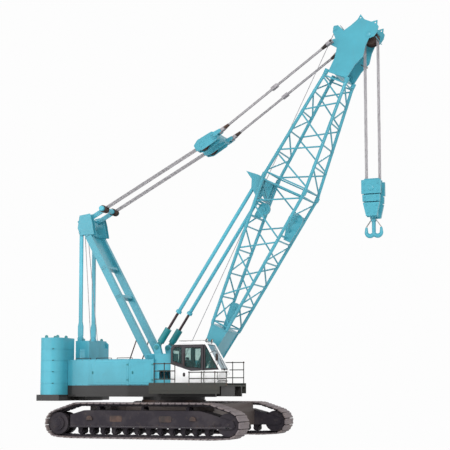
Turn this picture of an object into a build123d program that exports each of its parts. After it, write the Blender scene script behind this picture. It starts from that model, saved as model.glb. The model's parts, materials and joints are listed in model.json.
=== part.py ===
"""Crawler crane with a lattice boom, a rear gantry, live backstops and a double-hook block.

X points forwards along the boom, Y to the left, Z up. While it is laid out the model stands on the
swing axis; the last step moves it so that its origin lies under the middle of the whole crane.
All lengths are millimetres and all angles are degrees.
"""

from build123d import *
import os
from math import acos, atan2, cos, degrees, hypot, pi, radians, sin

# ---------------------------------------------------------------- play between pieces
SEAT = 0.3
PIN_PLAY = 0.1

# ---------------------------------------------------------------- crawlers
TRACK_LENGTH = 8300
TRACK_GAUGE = 5680
TRACK_HEIGHT = 1410
SHOE_WIDTH = 1070
SHOE_COUNT = 62
SHOE_GAP = 44
SHOE_THICKNESS = 45
BELT_WEB = 18
CHAIN_WIDTH = 330
CHAIN_DEPTH = 110
END_RADIUS = 550
END_LIFT = 35
LEVEL_TOP_RUN = TRACK_LENGTH - 2600
GROUND_RUN = TRACK_LENGTH - 2300
END_WHEEL_X = TRACK_LENGTH / 2 - END_RADIUS
END_WHEEL_Z = END_RADIUS + END_LIFT
WHEEL_CLEARANCE = 12
WHEEL_DISC_RADIUS = 436
WHEEL_SIDES = 40
WHEEL_COVER_RADIUS = 270
WHEEL_COVER = 60
DRIVE_HALF_WIDTH = 400
IDLER_HALF_WIDTH = 380
WHEEL_AXLE_RADIUS = 110
TRACK_FRAME_HALF_WIDTH = 430
TRACK_FRAME_REAR = 550 - END_WHEEL_X
FRAME_ARM_OVERLAP = 250
WHEEL_ARM_THICKNESS = 70
WHEEL_ARM_HALF_HEIGHT = 170
IDLER_SLOT_START = END_WHEEL_X - 550
LEDGE_FRONT = END_WHEEL_X + 180
LEDGE = 20
LEDGE_HEIGHT = 55
# side outline of a track frame: x, z
TRACK_FRAME_OUTLINE = (
    (TRACK_FRAME_REAR, 430),
    (LEDGE_FRONT, 430),
    (END_WHEEL_X + 300, 520),
    (END_WHEEL_X + 250, 700),
    (END_WHEEL_X - 600, 960),
    (END_WHEEL_X - 1150, 1100),
    (1150 - END_WHEEL_X, 1100),
    (TRACK_FRAME_REAR, 930),
)
TRACK_FRAME_BOTTOM = TRACK_FRAME_OUTLINE[0][1]
TRACK_FRAME_TOP = TRACK_FRAME_OUTLINE[5][1]
LOWER_ROLLER_COUNT = 12
LOWER_ROLLER_RADIUS = 130
LOWER_ROLLER_SPACING = (GROUND_RUN - 610) / (LOWER_ROLLER_COUNT - 1)
ROLLER_SIDES = 16
ROLLER_PIN_SHARE = 0.4
UPPER_ROLLER_RADIUS = 60
UPPER_ROLLER_PLACES = (-1900, 0, 1900)
ROLLER_HALF_WIDTH = 190
ROLLER_PIN = 10
ROLLER_EAR = 40
ROLLER_EAR_TOP = 115
ROLLER_EAR_FOOT = 60

# ---------------------------------------------------------------- car body and slewing ring
CARBODY_HALF_LENGTH = 1520
CARBODY_HALF_WIDTH = 1450
CARBODY_BOTTOM = 480
CARBODY_TOP = 1240
BEAM_PLACES = (-2100, 2100)
BEAM_HALF_LENGTH = 590
BEAM_BOTTOM = 430
BEAM_TOP = 1360
BEAM_SHOULDER = 2270
BEAM_END_TOP = 1080
RING_SEAT_RADIUS = 1180
RING_RADIUS = 1330
RING_BORE = 1070
RING_BOTTOM = 1390
RING_TOP = 1490
RING_GAP = 8

# ---------------------------------------------------------------- revolving frame
FRAME_REAR = -3700
FRAME_FRONT = 2400
FRAME_HALF_WIDTH = 800
FRAME_BOTTOM = 1640
DECK_HEIGHT = 2080
DECK_PLATE = 40
DECK_REAR = -4130
DECK_FRONT = 2450
DECK_HALF_WIDTH = 1560
SILL_WIDTH = 130
SILL_BOTTOM = DECK_HEIGHT - 460
TAIL_END = -4700
TURNTABLE_RADIUS = 1290
OUTRIGGER_PLACES = (-3900, -2900, -1900, -900, 100, 1100, 2100)
OUTRIGGER_LENGTH = 120
OUTRIGGER_BOTTOM = DECK_HEIGHT - 320

# ---------------------------------------------------------------- counterweight
WEIGHT_REAR = -5190
WEIGHT_FRONT = -4145
WEIGHT_HALF_WIDTH = 2280
WEIGHT_INNER = 1020
WEIGHT_BASE_BOTTOM = 1450
WEIGHT_BASE_TOP = 1700
WEIGHT_TOP = 4050
WEIGHT_SLABS = 5
WEIGHT_GROOVE = 14
WEIGHT_GROOVE_DEPTH = 12
WEIGHT_CORNER = 420

# ---------------------------------------------------------------- engine houses
HOUSE_REAR = -4130
HOUSE_INNER = 920
HOUSE_ROOF = DECK_HEIGHT + 1060
HOUSE_WALL = 45
DOOR_GAP = 8
DOOR_SILL = 70
DOOR_EDGE = 34
KNUCKLE_WIDTH = 60
# each house: side, front end, roof seams where its doors meet
HOUSES = dict(
    right=dict(side=-1, front=-200, doors=((-3120, -1311), (-1311, -200))),
    left=dict(side=1, front=620, doors=((-2900, -1500),)),
)
CABINET = dict(rear=-190, front=600, inner=960, outer=1500, top=HOUSE_ROOF + 215, hood_rear=-640)
CABINET_OPENING = dict(rear=-10, front=500, bottom=DECK_HEIGHT + 250, top=DECK_HEIGHT + 610)
ENGINE = dict(rear=-2900, front=-1500, inner=980, outer=1460, height=830)

# ---------------------------------------------------------------- cab
CAB_INNER = -830
CAB_OUTER = -1830
CAB_WALL = 45
CAB_FLOOR = DECK_HEIGHT
CAB_REAR = 640
CAB_ROOF = CAB_FLOOR + 1660
CAB_ROOF_FRONT = 2110
CAB_NOSE = 2740
CAB_NOSE_HEIGHT = CAB_FLOOR + 580
CAB_FOOT_FRONT = 2600
CAB_REAR_CUT = 190
CAB_DOOR_REAR = 1190
CAB_DOOR_FRONT = 2050
CAB_DOOR_BOTTOM = CAB_FLOOR + 70
CAB_DOOR_TOP = CAB_ROOF - 80
CAB_DOOR_THICKNESS = 40
CAB_DOOR_PLAY = 8
CAB_DOOR_TRAVEL = 520
CAB_RAIL = 26
CAB_RAIL_DEPTH = 60
SCREEN_SIDE = 60
PANE = 12

# ---------------------------------------------------------------- walkways
WALKWAY_OUTER = 2300
WALKWAY_REAR = -100
WALKWAY_FRONT = 3210
WALKWAY_FASCIA = DECK_HEIGHT - 335
FASCIA = 20
LEFT_WALKWAY_OUTER = 2060
RAIL_RADIUS = 20
# posts along X, and heights of the top and of the level bars over the deck
TALL_RAILS = dict(posts=(120, 560, 1015), top=870, bars=(240, 560))
LOW_RAILS = dict(posts=(1620, 2140, 2700, 3180), top=525, bars=(260,))
LEFT_RAILS = dict(posts=(760, 1300, 1850, 2350), top=1000, bars=(330, 665))

# ---------------------------------------------------------------- winches
WINCH_PLATE_INNER = 470
WINCH_PLATE = 50
DRUM_FLANGE = 35
DRUM_SHAFT = 70
DRUM_SIDES = 28
TOWER = dict(rear=-4130, front=-3500, top=DECK_HEIGHT + 1870, inner=850, plate=50, beam_bottom=DECK_HEIGHT + 1600)
# x, z, drum radius, flange radius, half width between its plates
WINCHES = (
    (330, DECK_HEIGHT + 480, 230, 330, WINCH_PLATE_INNER),
    (-1950, DECK_HEIGHT + 480, 230, 330, WINCH_PLATE_INNER),
    (-3830, DECK_HEIGHT + 620, 180, 260, TOWER["inner"]),
)

# ---------------------------------------------------------------- gantry
GANTRY_FOOT = (-683, DECK_HEIGHT + 820)
GANTRY_LEAN = 118.8
GANTRY_HALF = 600
GANTRY_PIN = 70
LEG_WIDTH = 200
LEG_DEPTH = 290
LEG_LENGTH = 7150
LEG_EYE = 140
LEG_START = 240
GANTRY_PLATE_FROM = 4800
GANTRY_PLATE_TO = 6450
GANTRY_TIES = (3370, 4800, 6450)
GANTRY_TIE = 130
GANTRY_TOP = (
    GANTRY_FOOT[0] + LEG_LENGTH * cos(radians(GANTRY_LEAN)),
    GANTRY_FOOT[1] + LEG_LENGTH * sin(radians(GANTRY_LEAN)),
)
PEAK_PIN = (GANTRY_TOP[0] + 278, GANTRY_TOP[1] + 34)
# the peak's side plates, as x and z from the top of the legs
PEAK_OUTLINE = ((20, -666), (-96, -361), (-9, 179), (488, 244), (588, -116), (688, -666))
PEAK_PLATE = 30
PEAK_BORE = 60
LINK_TOP = (GANTRY_TOP[0] + 18, GANTRY_TOP[1] - 566)
LINK_FOOT = (-4091, TOWER["top"] + 120)
LINK_BAR = 150
LINK_THICKNESS = 80
LINK_EYE = 100
LINK_SHOE = 230
LINK_SHOE_START = 120
LINK_SHOE_END = 520
LINK_SHOE_TAPER = 180
LINK_PIN = 45
LUG_THICKNESS = 50
PROP_TOP = (-1445, GANTRY_FOOT[1] + 1090)
PROP_FOOT = (-2150, DECK_HEIGHT)
PROP_RADIUS = 45
TOWER_PLATE_INNER = 480
TOWER_PLATE = 50
BACKSTOP_BASE = (-500, DECK_HEIGHT + 1570)
BACKSTOP_HALF = 580
BACKSTOP_PIN_RADIUS = 60
BACKSTOP_EYE_HALF = 40

# ---------------------------------------------------------------- boom
BOOM_FOOT = (1320, DECK_HEIGHT + 410)
BOOM_ANGLE = 63.4
BOOM_PIN_RADIUS = 75
FOOT_PLATE_INNER = 650
FOOT_PLATE = 70
FOOT_BOSS = 190
FOOT_EAR_GAP = 10
FOOT_EAR = 50
FOOT_BOX_FROM = 900
FOOT_BOX_TO = 2150
FOOT_SHEET = 30
CHORD_START = 2050
FOOT_FLANGE_STEP = 10
CHORD_RADIUS = 66
LACING_RADIUS = 33
LACING_GAP = 75
STRUT_CUT = 260
# places along the boom: distance from the foot pin, back chord, front chord, half width
STATIONS = ((2300, -345, 365, 735), (8490, -938, 945, 905), (13350, -518, 405, 517))
SECTION_JOINT = 8490
JOINT_RADIUS = 92
JOINT_LENGTH = 100
LOWER_BAYS = (2300, 3330, 4330, 5330, 6330, 7330, 8330)
UPPER_BAYS = (8650, 9590, 10520, 11450, 12370, 13120)
BACKSTOP_PIN = (7950, -1240)
BRACKET = dict(start=7560, end=8330, plate=30, gap=90)
HORN_TIP = (8350, -1800)
# rounded rope guides in the boom's middle: foot, round end, radius, hub radius
GUIDES = (
    ((6800, -800), (7250, -640), 250, 75),
    ((6450, 830), (7330, 790), 320, 90),
    ((2150, 0), (3060, 20), 230, 60),
)
GUIDE_HALF = 60
GUIDE_BARS = ((6800, -1), (7450, -1), (6560, 1), (7560, 1))
HEAD_END = 13280
HEAD_SHAFT = (15230, 440)
HEAD_PLATE = 50
HEAD_PLATE_INNER = 527
PENDANT_PIN = (14420, -800)
GUIDE_SHEAVE = (14990, -920)
GUIDE_SHEAVE_RADIUS = 200
HEAD_SHEAVE_RADIUS = 300
SHEAVE_RIM = 14
SHEAVE_SIDES = 28
HEAD_OUTLINE = (
    (13280, -425), (13909, -424), (14300, -520), (14330, -900), (14500, -900), (14620, -740), (14820, -960),
    (15060, -1030), (15150, -880), (15033, -560), (15291, -392), (15620, -225), (15865, -197), (15732, 40),
    (15739, 345), (15883, 550), (15727, 610), (15671, 700), (15480, 740), (15250, 700), (15103, 541),
    (14786, 545), (14356, 636), (13921, 481), (13335, 399),
)
HEAD_TUBES = ((13520, 0, 90), (14560, -350, 70), (15444, 0, 60))
# pin holes in each side plate that take a jib
JIB_BORES = ((15740, -140), (15760, 510))
JIB_BORE_RADIUS = 32

# ---------------------------------------------------------------- stays
STAY_ANGLE = 28.0
SPREADER_REACH = 900
SPREADER_HALF = 760
BAIL_REACH = 5900
PENDANT_REACH = 7000
BAIL_HALF = 700
PENDANT_INNER = 640
PENDANT_OUTER = 780
PENDANT_ROPE = 24
PENDANT_PIN_RADIUS = 35
ROPE_RADIUS = 14
STAY_ROPES = (-620, -540, -460, -380, -300, 300, 380, 460, 540, 620)

# ---------------------------------------------------------------- backstops
CYLINDER_START = 250
CYLINDER_END = 900
CYLINDER_RADIUS = 145
ROD_RADIUS = 56
ROD_LENGTH = 5400
TUBE_START = 1680
TUBE_RADIUS = 76
TUBE_BORE = 64
MOUTH_RADIUS = 120
MOUTH_LENGTH = 120
GLAND_LENGTH = 60
TUBE_PIN_RADIUS = 45

# ---------------------------------------------------------------- hook block and hook
BLOCK_SHEAVE_HEIGHT = 9780
BLOCK_SHEAVE_RADIUS = 290
FALL_OFFSET = 266
BLOCK_BOTTOM = 8640
BLOCK_TOP = 10170
BLOCK_HALF = 440
CHEEK_PLATE = 40
CHEEK_WEIGHT = 140
SHEAVE_PLACES = (-200, -67, 67, 200)
SHEAVE_WIDTH = 60
HOOK_NECK = 78
HOOK_CENTRE = 8080
HORN_RING = 150
HORN_THICKNESS = 85
HORN_SIDES = 12
HORN_TIP_LENGTH = 190
HORN_TIP_RADIUS = 45

SIDES = (("right", -1), ("left", 1))


# ================================================================ shape helpers
def block(x0, x1, y0, y1, z0, z1):
    """A box between two corners, given in any order."""
    return Pos((x0 + x1) / 2, (y0 + y1) / 2, (z0 + z1) / 2) * Box(abs(x1 - x0), abs(y1 - y0), abs(z1 - z0))


def face_of(points):
    """A flat face inside a closed line of points."""
    return make_face(Polyline(*points, close=True))


def slab(sketch, low, high):
    """A flat outline in the X-Y plane, carried up from low to high. In the turned frames Z points left."""
    return extrude(Plane.XY.offset(low) * sketch, amount=high - low)


def side_plate(points, y0, y1):
    """A flat outline in X and Z, carried across from y0 to y1."""
    low, high = min(y0, y1), max(y0, y1)
    plane = Plane(origin=(0, high, 0), x_dir=(1, 0, 0), z_dir=(0, -1, 0))
    return extrude(plane * face_of(points), amount=high - low)


def across(x, z, radius, y0, y1):
    """A round bar along Y."""
    plane = Plane(origin=(x, min(y0, y1), z), x_dir=(1, 0, 0), z_dir=(0, 1, 0))
    return Part() + Solid.make_cylinder(radius, abs(y1 - y0), plane)


def faceted(x, z, radius, y0, y1, sides):
    """A many-sided bar along Y, for what repeats often."""
    plane = Plane(origin=(x, min(y0, y1), z), x_dir=(1, 0, 0), z_dir=(0, 1, 0))
    return extrude(plane * RegularPolygon(radius, sides), amount=abs(y1 - y0))


def bar(start, end, radius):
    """A round bar between two points."""
    start, end = Vector(*start), Vector(*end)
    plane = Plane(origin=start, z_dir=end - start)
    return Part() + Solid.make_cylinder(radius, (end - start).length, plane)


def six_sided(start, end, radius):
    """A six-sided bar between two points, for lacing and rails."""
    start, end = Vector(*start), Vector(*end)
    plane = Plane(origin=start, z_dir=end - start)
    return extrude(plane * RegularPolygon(radius, 6), amount=(end - start).length)


def joined(pieces):
    """One part from pieces that touch, cross or stand apart."""
    return Part() + list(pieces)


def mirrored(shape):
    """The same shape on the other side of the crane's middle plane."""
    return mirror(shape, about=Plane.XZ)


def on_side(shape, sign):
    """A shape drawn on the left, kept there or moved to the right."""
    return shape if sign > 0 else mirrored(shape)


def both_sides(shape):
    return joined([shape, mirrored(shape)])


def turned(origin, angle):
    """A frame with x along a line in the X-Z plane, y in front of the line or under it, and z to the left."""
    x_dir = (cos(radians(angle)), 0, sin(radians(angle)))
    return Plane(origin=(origin[0], 0, origin[1]), x_dir=x_dir, z_dir=(0, 1, 0)).location


def twin(shape):
    """A shape drawn in a turned frame and its mirror image on the crane's other side."""
    return joined([shape, mirror(shape, about=Plane.XY)])


def lengthwise(x0, x1, z, radius):
    """A round bar along a turned frame's x."""
    return extrude(Plane(origin=(x0, 0, z), z_dir=(1, 0, 0)) * Circle(radius), amount=x1 - x0)


def between(start, end):
    """Length and angle of the line between two points in X and Z."""
    dx, dz = end[0] - start[0], end[1] - start[1]
    return hypot(dx, dz), degrees(atan2(dz, dx))


def along(origin, angle, distance):
    """The point in X and Z at a distance from an origin."""
    return origin[0] + distance * cos(radians(angle)), origin[1] + distance * sin(radians(angle))


def on_boom(u, v):
    """X and Z of a point at u along the boom and v in front of its axis."""
    turn = radians(BOOM_ANGLE)
    return BOOM_FOOT[0] + u * cos(turn) + v * sin(turn), BOOM_FOOT[1] + u * sin(turn) - v * cos(turn)


BOOM = turned(BOOM_FOOT, BOOM_ANGLE)

# ================================================================ crawlers
TRACK_Y = TRACK_GAUGE / 2


def tangent_angle(x, z):
    """Where a straight run from (x, z) meets the front end round, as an angle about the end wheel."""
    dx, dz = x - END_WHEEL_X, z - END_WHEEL_Z
    turn = acos(END_RADIUS / hypot(dx, dz))
    return atan2(dz, dx) - turn if dz > 0 else atan2(dz, dx) + turn


def belt_path():
    """The belt's outer line as straight runs and end rounds, clockwise from the rear top corner."""
    upper = tangent_angle(LEVEL_TOP_RUN / 2, TRACK_HEIGHT)
    lower = tangent_angle(GROUND_RUN / 2, 0)

    def on_round(angle, side):
        return side * (END_WHEEL_X + END_RADIUS * cos(angle)), END_WHEEL_Z + END_RADIUS * sin(angle)

    top, ground = LEVEL_TOP_RUN / 2, GROUND_RUN / 2
    return [
        ("run", (-top, TRACK_HEIGHT), (top, TRACK_HEIGHT)),
        ("run", (top, TRACK_HEIGHT), on_round(upper, 1)),
        ("round", (END_WHEEL_X, END_WHEEL_Z), upper, lower),
        ("run", on_round(lower, 1), (ground, 0)),
        ("run", (ground, 0), (-ground, 0)),
        ("run", (-ground, 0), on_round(lower, -1)),
        ("round", (-END_WHEEL_X, END_WHEEL_Z), -pi - lower, -pi - upper),
        ("run", on_round(upper, -1), (-top, TRACK_HEIGHT)),
    ]


def piece_length(piece):
    if piece[0] == "run":
        return hypot(piece[2][0] - piece[1][0], piece[2][1] - piece[1][1])
    return END_RADIUS * abs(piece[3] - piece[2])


BELT = belt_path()
BELT_LENGTH = sum(piece_length(piece) for piece in BELT)
SHOE_PITCH = BELT_LENGTH / SHOE_COUNT


def belt_point(distance):
    """The point at a distance along the belt's outer line."""
    distance %= BELT_LENGTH
    for piece in BELT:
        length = piece_length(piece)
        if distance <= length:
            share = distance / length
            if piece[0] == "run":
                (x0, z0), (x1, z1) = piece[1], piece[2]
                return x0 + (x1 - x0) * share, z0 + (z1 - z0) * share
            angle = piece[2] + (piece[3] - piece[2]) * share
            return piece[1][0] + END_RADIUS * cos(angle), piece[1][1] + END_RADIUS * sin(angle)
        distance -= length
    return BELT[0][1]


def shoe_line(number):
    """The ends of one shoe's flat face and the direction into the belt."""
    x0, z0 = belt_point(number * SHOE_PITCH + SHOE_GAP / 2)
    x1, z1 = belt_point((number + 1) * SHOE_PITCH - SHOE_GAP / 2)
    length = hypot(x1 - x0, z1 - z0)
    return (x0, z0), (x1, z1), ((z1 - z0) / length, -(x1 - x0) / length)


def belt_outline(depth):
    """The closed line at a depth under the middles of the shoes' faces."""
    points = []
    for number in range(SHOE_COUNT):
        (x0, z0), (x1, z1), inward = shoe_line(number)
        points.append(((x0 + x1) / 2 + inward[0] * depth, (z0 + z1) / 2 + inward[1] * depth))
    return points


def shoe_outline():
    """The closed outer line with a notch between each shoe and the next."""
    points = []
    for number in range(SHOE_COUNT):
        start, end, inward = shoe_line(number)
        roots = [(x + inward[0] * SHOE_THICKNESS, z + inward[1] * SHOE_THICKNESS) for x, z in (start, end)]
        points += [roots[0], start, end, roots[1]]
    return points


def crawler_belt(y):
    """Shoes, the web that joins them and the link chain inside, as one loop."""
    half, chain_half = SHOE_WIDTH / 2, CHAIN_WIDTH / 2
    inner = SHOE_THICKNESS + BELT_WEB
    shoes = side_plate(shoe_outline(), y - half, y + half)
    shoes -= side_plate(belt_outline(inner), y - half, y + half)
    chain = side_plate(belt_outline(inner - BELT_WEB / 2), y - chain_half, y + chain_half)
    chain -= side_plate(belt_outline(SHOE_THICKNESS + CHAIN_DEPTH), y - chain_half, y + chain_half)
    return shoes + chain


def wheel_tread():
    """The largest wheel that clears the chain's flats where it bends round the end."""
    bend = cos(SHOE_PITCH / 2 / END_RADIUS)
    return (END_RADIUS * bend - SHOE_THICKNESS - CHAIN_DEPTH) * bend - WHEEL_CLEARANCE


def end_wheel(x, y, half_width):
    """A wheel in the chain between two side discs."""
    wheel = faceted(x, END_WHEEL_Z, wheel_tread(), y - half_width, y + half_width, WHEEL_SIDES)
    for sign in (-1, 1):
        inner = y + sign * (CHAIN_WIDTH / 2 + WHEEL_CLEARANCE)
        wheel += faceted(x, END_WHEEL_Z, WHEEL_DISC_RADIUS, inner, y + sign * half_width, WHEEL_SIDES)
    return wheel


def drive_wheel(y, side):
    """The rear wheel, closed outside by the drive's round cover."""
    face = y + side * DRIVE_HALF_WIDTH
    cover = across(-END_WHEEL_X, END_WHEEL_Z, WHEEL_COVER_RADIUS, face, face + side * WHEEL_COVER)
    return end_wheel(-END_WHEEL_X, y, DRIVE_HALF_WIDTH) + cover


def idler_wheel(y):
    """The front wheel with its axle out to both arms of the track frame."""
    reach = IDLER_HALF_WIDTH + WHEEL_CLEARANCE
    axle = across(END_WHEEL_X, END_WHEEL_Z, WHEEL_AXLE_RADIUS, y - reach, y + reach)
    return end_wheel(END_WHEEL_X, y, IDLER_HALF_WIDTH) + axle


def roller_height():
    """Height of the lower rollers, which run on the chain."""
    return SHOE_THICKNESS + CHAIN_DEPTH + LOWER_ROLLER_RADIUS + SEAT


def upper_roller_height():
    """Height of the upper rollers, which carry the chain's top run."""
    return TRACK_HEIGHT - SHOE_THICKNESS - CHAIN_DEPTH - UPPER_ROLLER_RADIUS - SEAT


def lower_roller_places():
    return [(number - (LOWER_ROLLER_COUNT - 1) / 2) * LOWER_ROLLER_SPACING for number in range(LOWER_ROLLER_COUNT)]


def track_frame(y, side):
    """The box beam inside the belt, its idler fork, its drive arm and the ears of its rollers."""
    width, low, high = TRACK_FRAME_HALF_WIDTH, TRACK_FRAME_BOTTOM, TRACK_FRAME_TOP
    frame = side_plate(TRACK_FRAME_OUTLINE, y - width, y + width)
    slot = IDLER_HALF_WIDTH + WHEEL_CLEARANCE
    frame -= block(IDLER_SLOT_START, TRACK_LENGTH / 2, y - slot, y + slot, 0, TRACK_HEIGHT)
    face = y - side * DRIVE_HALF_WIDTH
    back = face - side * WHEEL_ARM_THICKNESS
    rise = WHEEL_ARM_HALF_HEIGHT
    pieces = [
        block(-END_WHEEL_X, TRACK_FRAME_REAR + FRAME_ARM_OVERLAP, face, back, END_WHEEL_Z - rise, END_WHEEL_Z + rise),
        across(-END_WHEEL_X, END_WHEEL_Z, rise, face, back),
    ]
    outer = y + side * width
    pieces.append(block(TRACK_FRAME_REAR, LEDGE_FRONT, outer, outer + side * LEDGE, low, low + LEDGE_HEIGHT))
    for sign in (-1, 1):
        inner = y + sign * (ROLLER_HALF_WIDTH + ROLLER_PIN)
        ear_outer = inner + sign * ROLLER_EAR
        for x in lower_roller_places():
            foot = roller_height() - ROLLER_EAR_FOOT
            ear = ((x - ROLLER_EAR_TOP, low), (x - ROLLER_EAR_FOOT, foot), (x + ROLLER_EAR_FOOT, foot),
                   (x + ROLLER_EAR_TOP, low))
            pieces.append(side_plate(ear, inner, ear_outer))
        for x in UPPER_ROLLER_PLACES:
            top = upper_roller_height() + ROLLER_EAR_FOOT / 2
            pieces.append(block(x - ROLLER_EAR_FOOT, x + ROLLER_EAR_FOOT, inner, ear_outer, high, top))
    return frame + pieces


def track_rollers(y):
    """All rollers of one side, each with its pin out to the ears of the frame."""
    pieces = []
    half, reach = ROLLER_HALF_WIDTH, ROLLER_HALF_WIDTH + ROLLER_PIN
    rows = (
        (lower_roller_places(), roller_height(), LOWER_ROLLER_RADIUS),
        (UPPER_ROLLER_PLACES, upper_roller_height(), UPPER_ROLLER_RADIUS),
    )
    for places, z, radius in rows:
        for x in places:
            roller = faceted(x, z, radius, y - half, y + half, ROLLER_SIDES)
            pieces.append(roller + faceted(x, z, radius * ROLLER_PIN_SHARE, y - reach, y + reach, ROLLER_SIDES // 2))
    return joined(pieces)


# ================================================================ car body
def carbody():
    """The middle box, the two cross beams that carry the track frames, and the ring's seat."""
    length, width = CARBODY_HALF_LENGTH, CARBODY_HALF_WIDTH
    body = block(-length, length, -width, width, CARBODY_BOTTOM, CARBODY_TOP)
    reach, shoulder = TRACK_Y - TRACK_FRAME_HALF_WIDTH, BEAM_SHOULDER
    half = BEAM_HALF_LENGTH
    pieces = []
    for x in BEAM_PLACES:
        pieces.append(block(x - half, x + half, -shoulder, shoulder, BEAM_BOTTOM, BEAM_TOP))
        pieces.append(block(x - half, x + half, -reach, reach, BEAM_BOTTOM, BEAM_END_TOP))
    seat = Pos(0, 0, (CARBODY_TOP + RING_BOTTOM) / 2) * Cylinder(RING_SEAT_RADIUS, RING_BOTTOM - CARBODY_TOP)
    return body + [*pieces, seat]


def slewing_ring():
    """The toothed ring bolted on the car body."""
    middle, height = (RING_BOTTOM + RING_TOP) / 2, RING_TOP - RING_BOTTOM
    return Pos(0, 0, middle) * (Cylinder(RING_RADIUS, height) - Cylinder(RING_BORE, height))


# ================================================================ upper works
def revolving_frame():
    """The main girder box, tail, deck plate, side sills, outriggers and the bearing's inner race."""
    half, top = DECK_HALF_WIDTH, DECK_HEIGHT
    frame = block(FRAME_REAR, FRAME_FRONT, -FRAME_HALF_WIDTH, FRAME_HALF_WIDTH, FRAME_BOTTOM, top)
    pieces = [
        block(TAIL_END, FRAME_REAR, -FRAME_HALF_WIDTH, FRAME_HALF_WIDTH, WEIGHT_BASE_TOP, top),
        block(DECK_REAR, DECK_FRONT, -half, half, top - DECK_PLATE, top),
    ]
    for sign in (-1, 1):
        pieces.append(block(DECK_REAR, DECK_FRONT, sign * (half - SILL_WIDTH), sign * half, SILL_BOTTOM, top))
        for x in OUTRIGGER_PLACES:
            inner, outer = sign * (FRAME_HALF_WIDTH - 10), sign * (half - 10)
            pieces.append(block(x, x + OUTRIGGER_LENGTH, inner, outer, OUTRIGGER_BOTTOM, top - 10))
    low = RING_TOP + RING_GAP
    pieces.append(Pos(0, 0, (low + FRAME_BOTTOM) / 2) * Cylinder(TURNTABLE_RADIUS, FRAME_BOTTOM - low))
    race = RING_BOTTOM + RING_GAP
    pieces.append(Pos(0, 0, (race + low) / 2) * Cylinder(RING_BORE - SEAT, low - race))
    return frame + pieces


def boom_foot_ears():
    """The two ears on the left that hold one of the boom's foot plates between them."""
    x, z = BOOM_FOOT
    inside = FOOT_PLATE_INNER - FOOT_EAR_GAP - FOOT_EAR
    outside = FOOT_PLATE_INNER + FOOT_PLATE + FOOT_EAR_GAP
    outline = ((x - 420, DECK_HEIGHT), (x + 420, DECK_HEIGHT), (x + FOOT_BOSS, z), (x - FOOT_BOSS, z))
    ears = []
    for start in (inside, outside):
        ear = side_plate(outline, start, start + FOOT_EAR) + across(x, z, FOOT_BOSS, start, start + FOOT_EAR)
        ears.append(ear - across(x, z, BOOM_PIN_RADIUS + PIN_PLAY, start, start + FOOT_EAR))
    return joined(ears)


def gantry_towers():
    """Twin plates on the left that hold a gantry leg's foot and a backstop's base, with both pins."""
    gx, gz = GANTRY_FOOT
    bx, bz = BACKSTOP_BASE
    outline = (
        (gx - 320, DECK_HEIGHT),
        (bx + 560, DECK_HEIGHT),
        (bx + LEG_EYE, bz),
        (bx - LEG_EYE, bz),
        (gx + 170, gz + 90),
        (gx - LEG_EYE, gz),
    )
    first = TOWER_PLATE_INNER
    last = 2 * BACKSTOP_HALF - first
    pieces = []
    for start in (first, last - TOWER_PLATE):
        pieces.append(side_plate(outline, start, start + TOWER_PLATE))
        for x, z in (GANTRY_FOOT, BACKSTOP_BASE):
            pieces.append(across(x, z, LEG_EYE, start, start + TOWER_PLATE))
    pieces.append(across(bx, bz, BACKSTOP_PIN_RADIUS, first - TOWER_PLATE / 2, last + TOWER_PLATE / 2))
    pieces.append(across(gx, gz, GANTRY_PIN, first - TOWER_PLATE / 2, last + TOWER_PLATE / 2))
    return joined(pieces)


def winch_plates():
    """The plates on the left that carry the two main drums."""
    plates = []
    for x, z, _, flange, half in WINCHES[:2]:
        outline = ((x - flange, DECK_HEIGHT), (x + flange, DECK_HEIGHT), (x + 150, z + 120), (x - 150, z + 120))
        plates.append(side_plate(outline, half, half + WINCH_PLATE))
    return joined(plates)


def upper_brackets():
    """Every plate that stands on the deck to hold the boom, the gantry, the backstops and the drums."""
    return both_sides(joined([boom_foot_ears(), gantry_towers(), winch_plates()]))


def rear_tower():
    """The tower at the tail: side plates with a hand hole, front plate, head beam and the links' lugs."""
    t = TOWER
    outer = t["inner"] + t["plate"]
    outline = ((t["rear"], DECK_HEIGHT), (t["front"], DECK_HEIGHT), (t["front"], t["top"] - 90),
               (t["front"] - 90, t["top"]), (t["rear"], t["top"]))
    wall = side_plate(outline, t["inner"], outer)
    wall -= block(t["rear"] + 150, t["front"] - 200, t["inner"], outer, HOUSE_ROOF + 60, t["beam_bottom"] - 80)
    x, z = LINK_FOOT
    inner = GANTRY_HALF - 20 - LINK_THICKNESS / 2
    outer_lug = inner + LINK_THICKNESS
    lugs = []
    for start in (inner - SEAT - LUG_THICKNESS, outer_lug + SEAT):
        lug = block(x - LINK_EYE, x + LINK_EYE, start, start + LUG_THICKNESS, t["top"] - 60, z)
        lugs.append(lug + across(x, z, LINK_EYE, start, start + LUG_THICKNESS))
    lugs.append(across(x, z, LINK_PIN, inner - LUG_THICKNESS, outer_lug + LUG_THICKNESS))
    beam = block(t["rear"] - 10, t["front"] - 90, -t["inner"], t["inner"], t["beam_bottom"], t["top"])
    front = block(t["front"] - t["plate"], t["front"], -t["inner"], t["inner"], DECK_HEIGHT + 500, t["beam_bottom"])
    return both_sides(joined([wall, *lugs])) + [beam, front]


def winch_drums():
    """Each drum with its end flanges and a shaft out to the plates that carry it."""
    pieces = []
    for x, z, drum, flange, half in WINCHES:
        rope_half = half - 2 * DRUM_FLANGE
        body = faceted(x, z, drum, -rope_half, rope_half, DRUM_SIDES) + across(x, z, DRUM_SHAFT, -half, half)
        for sign in (-1, 1):
            body += faceted(x, z, flange, sign * rope_half, sign * (rope_half + DRUM_FLANGE), DRUM_SIDES)
        pieces.append(body)
    return joined(pieces)


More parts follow.
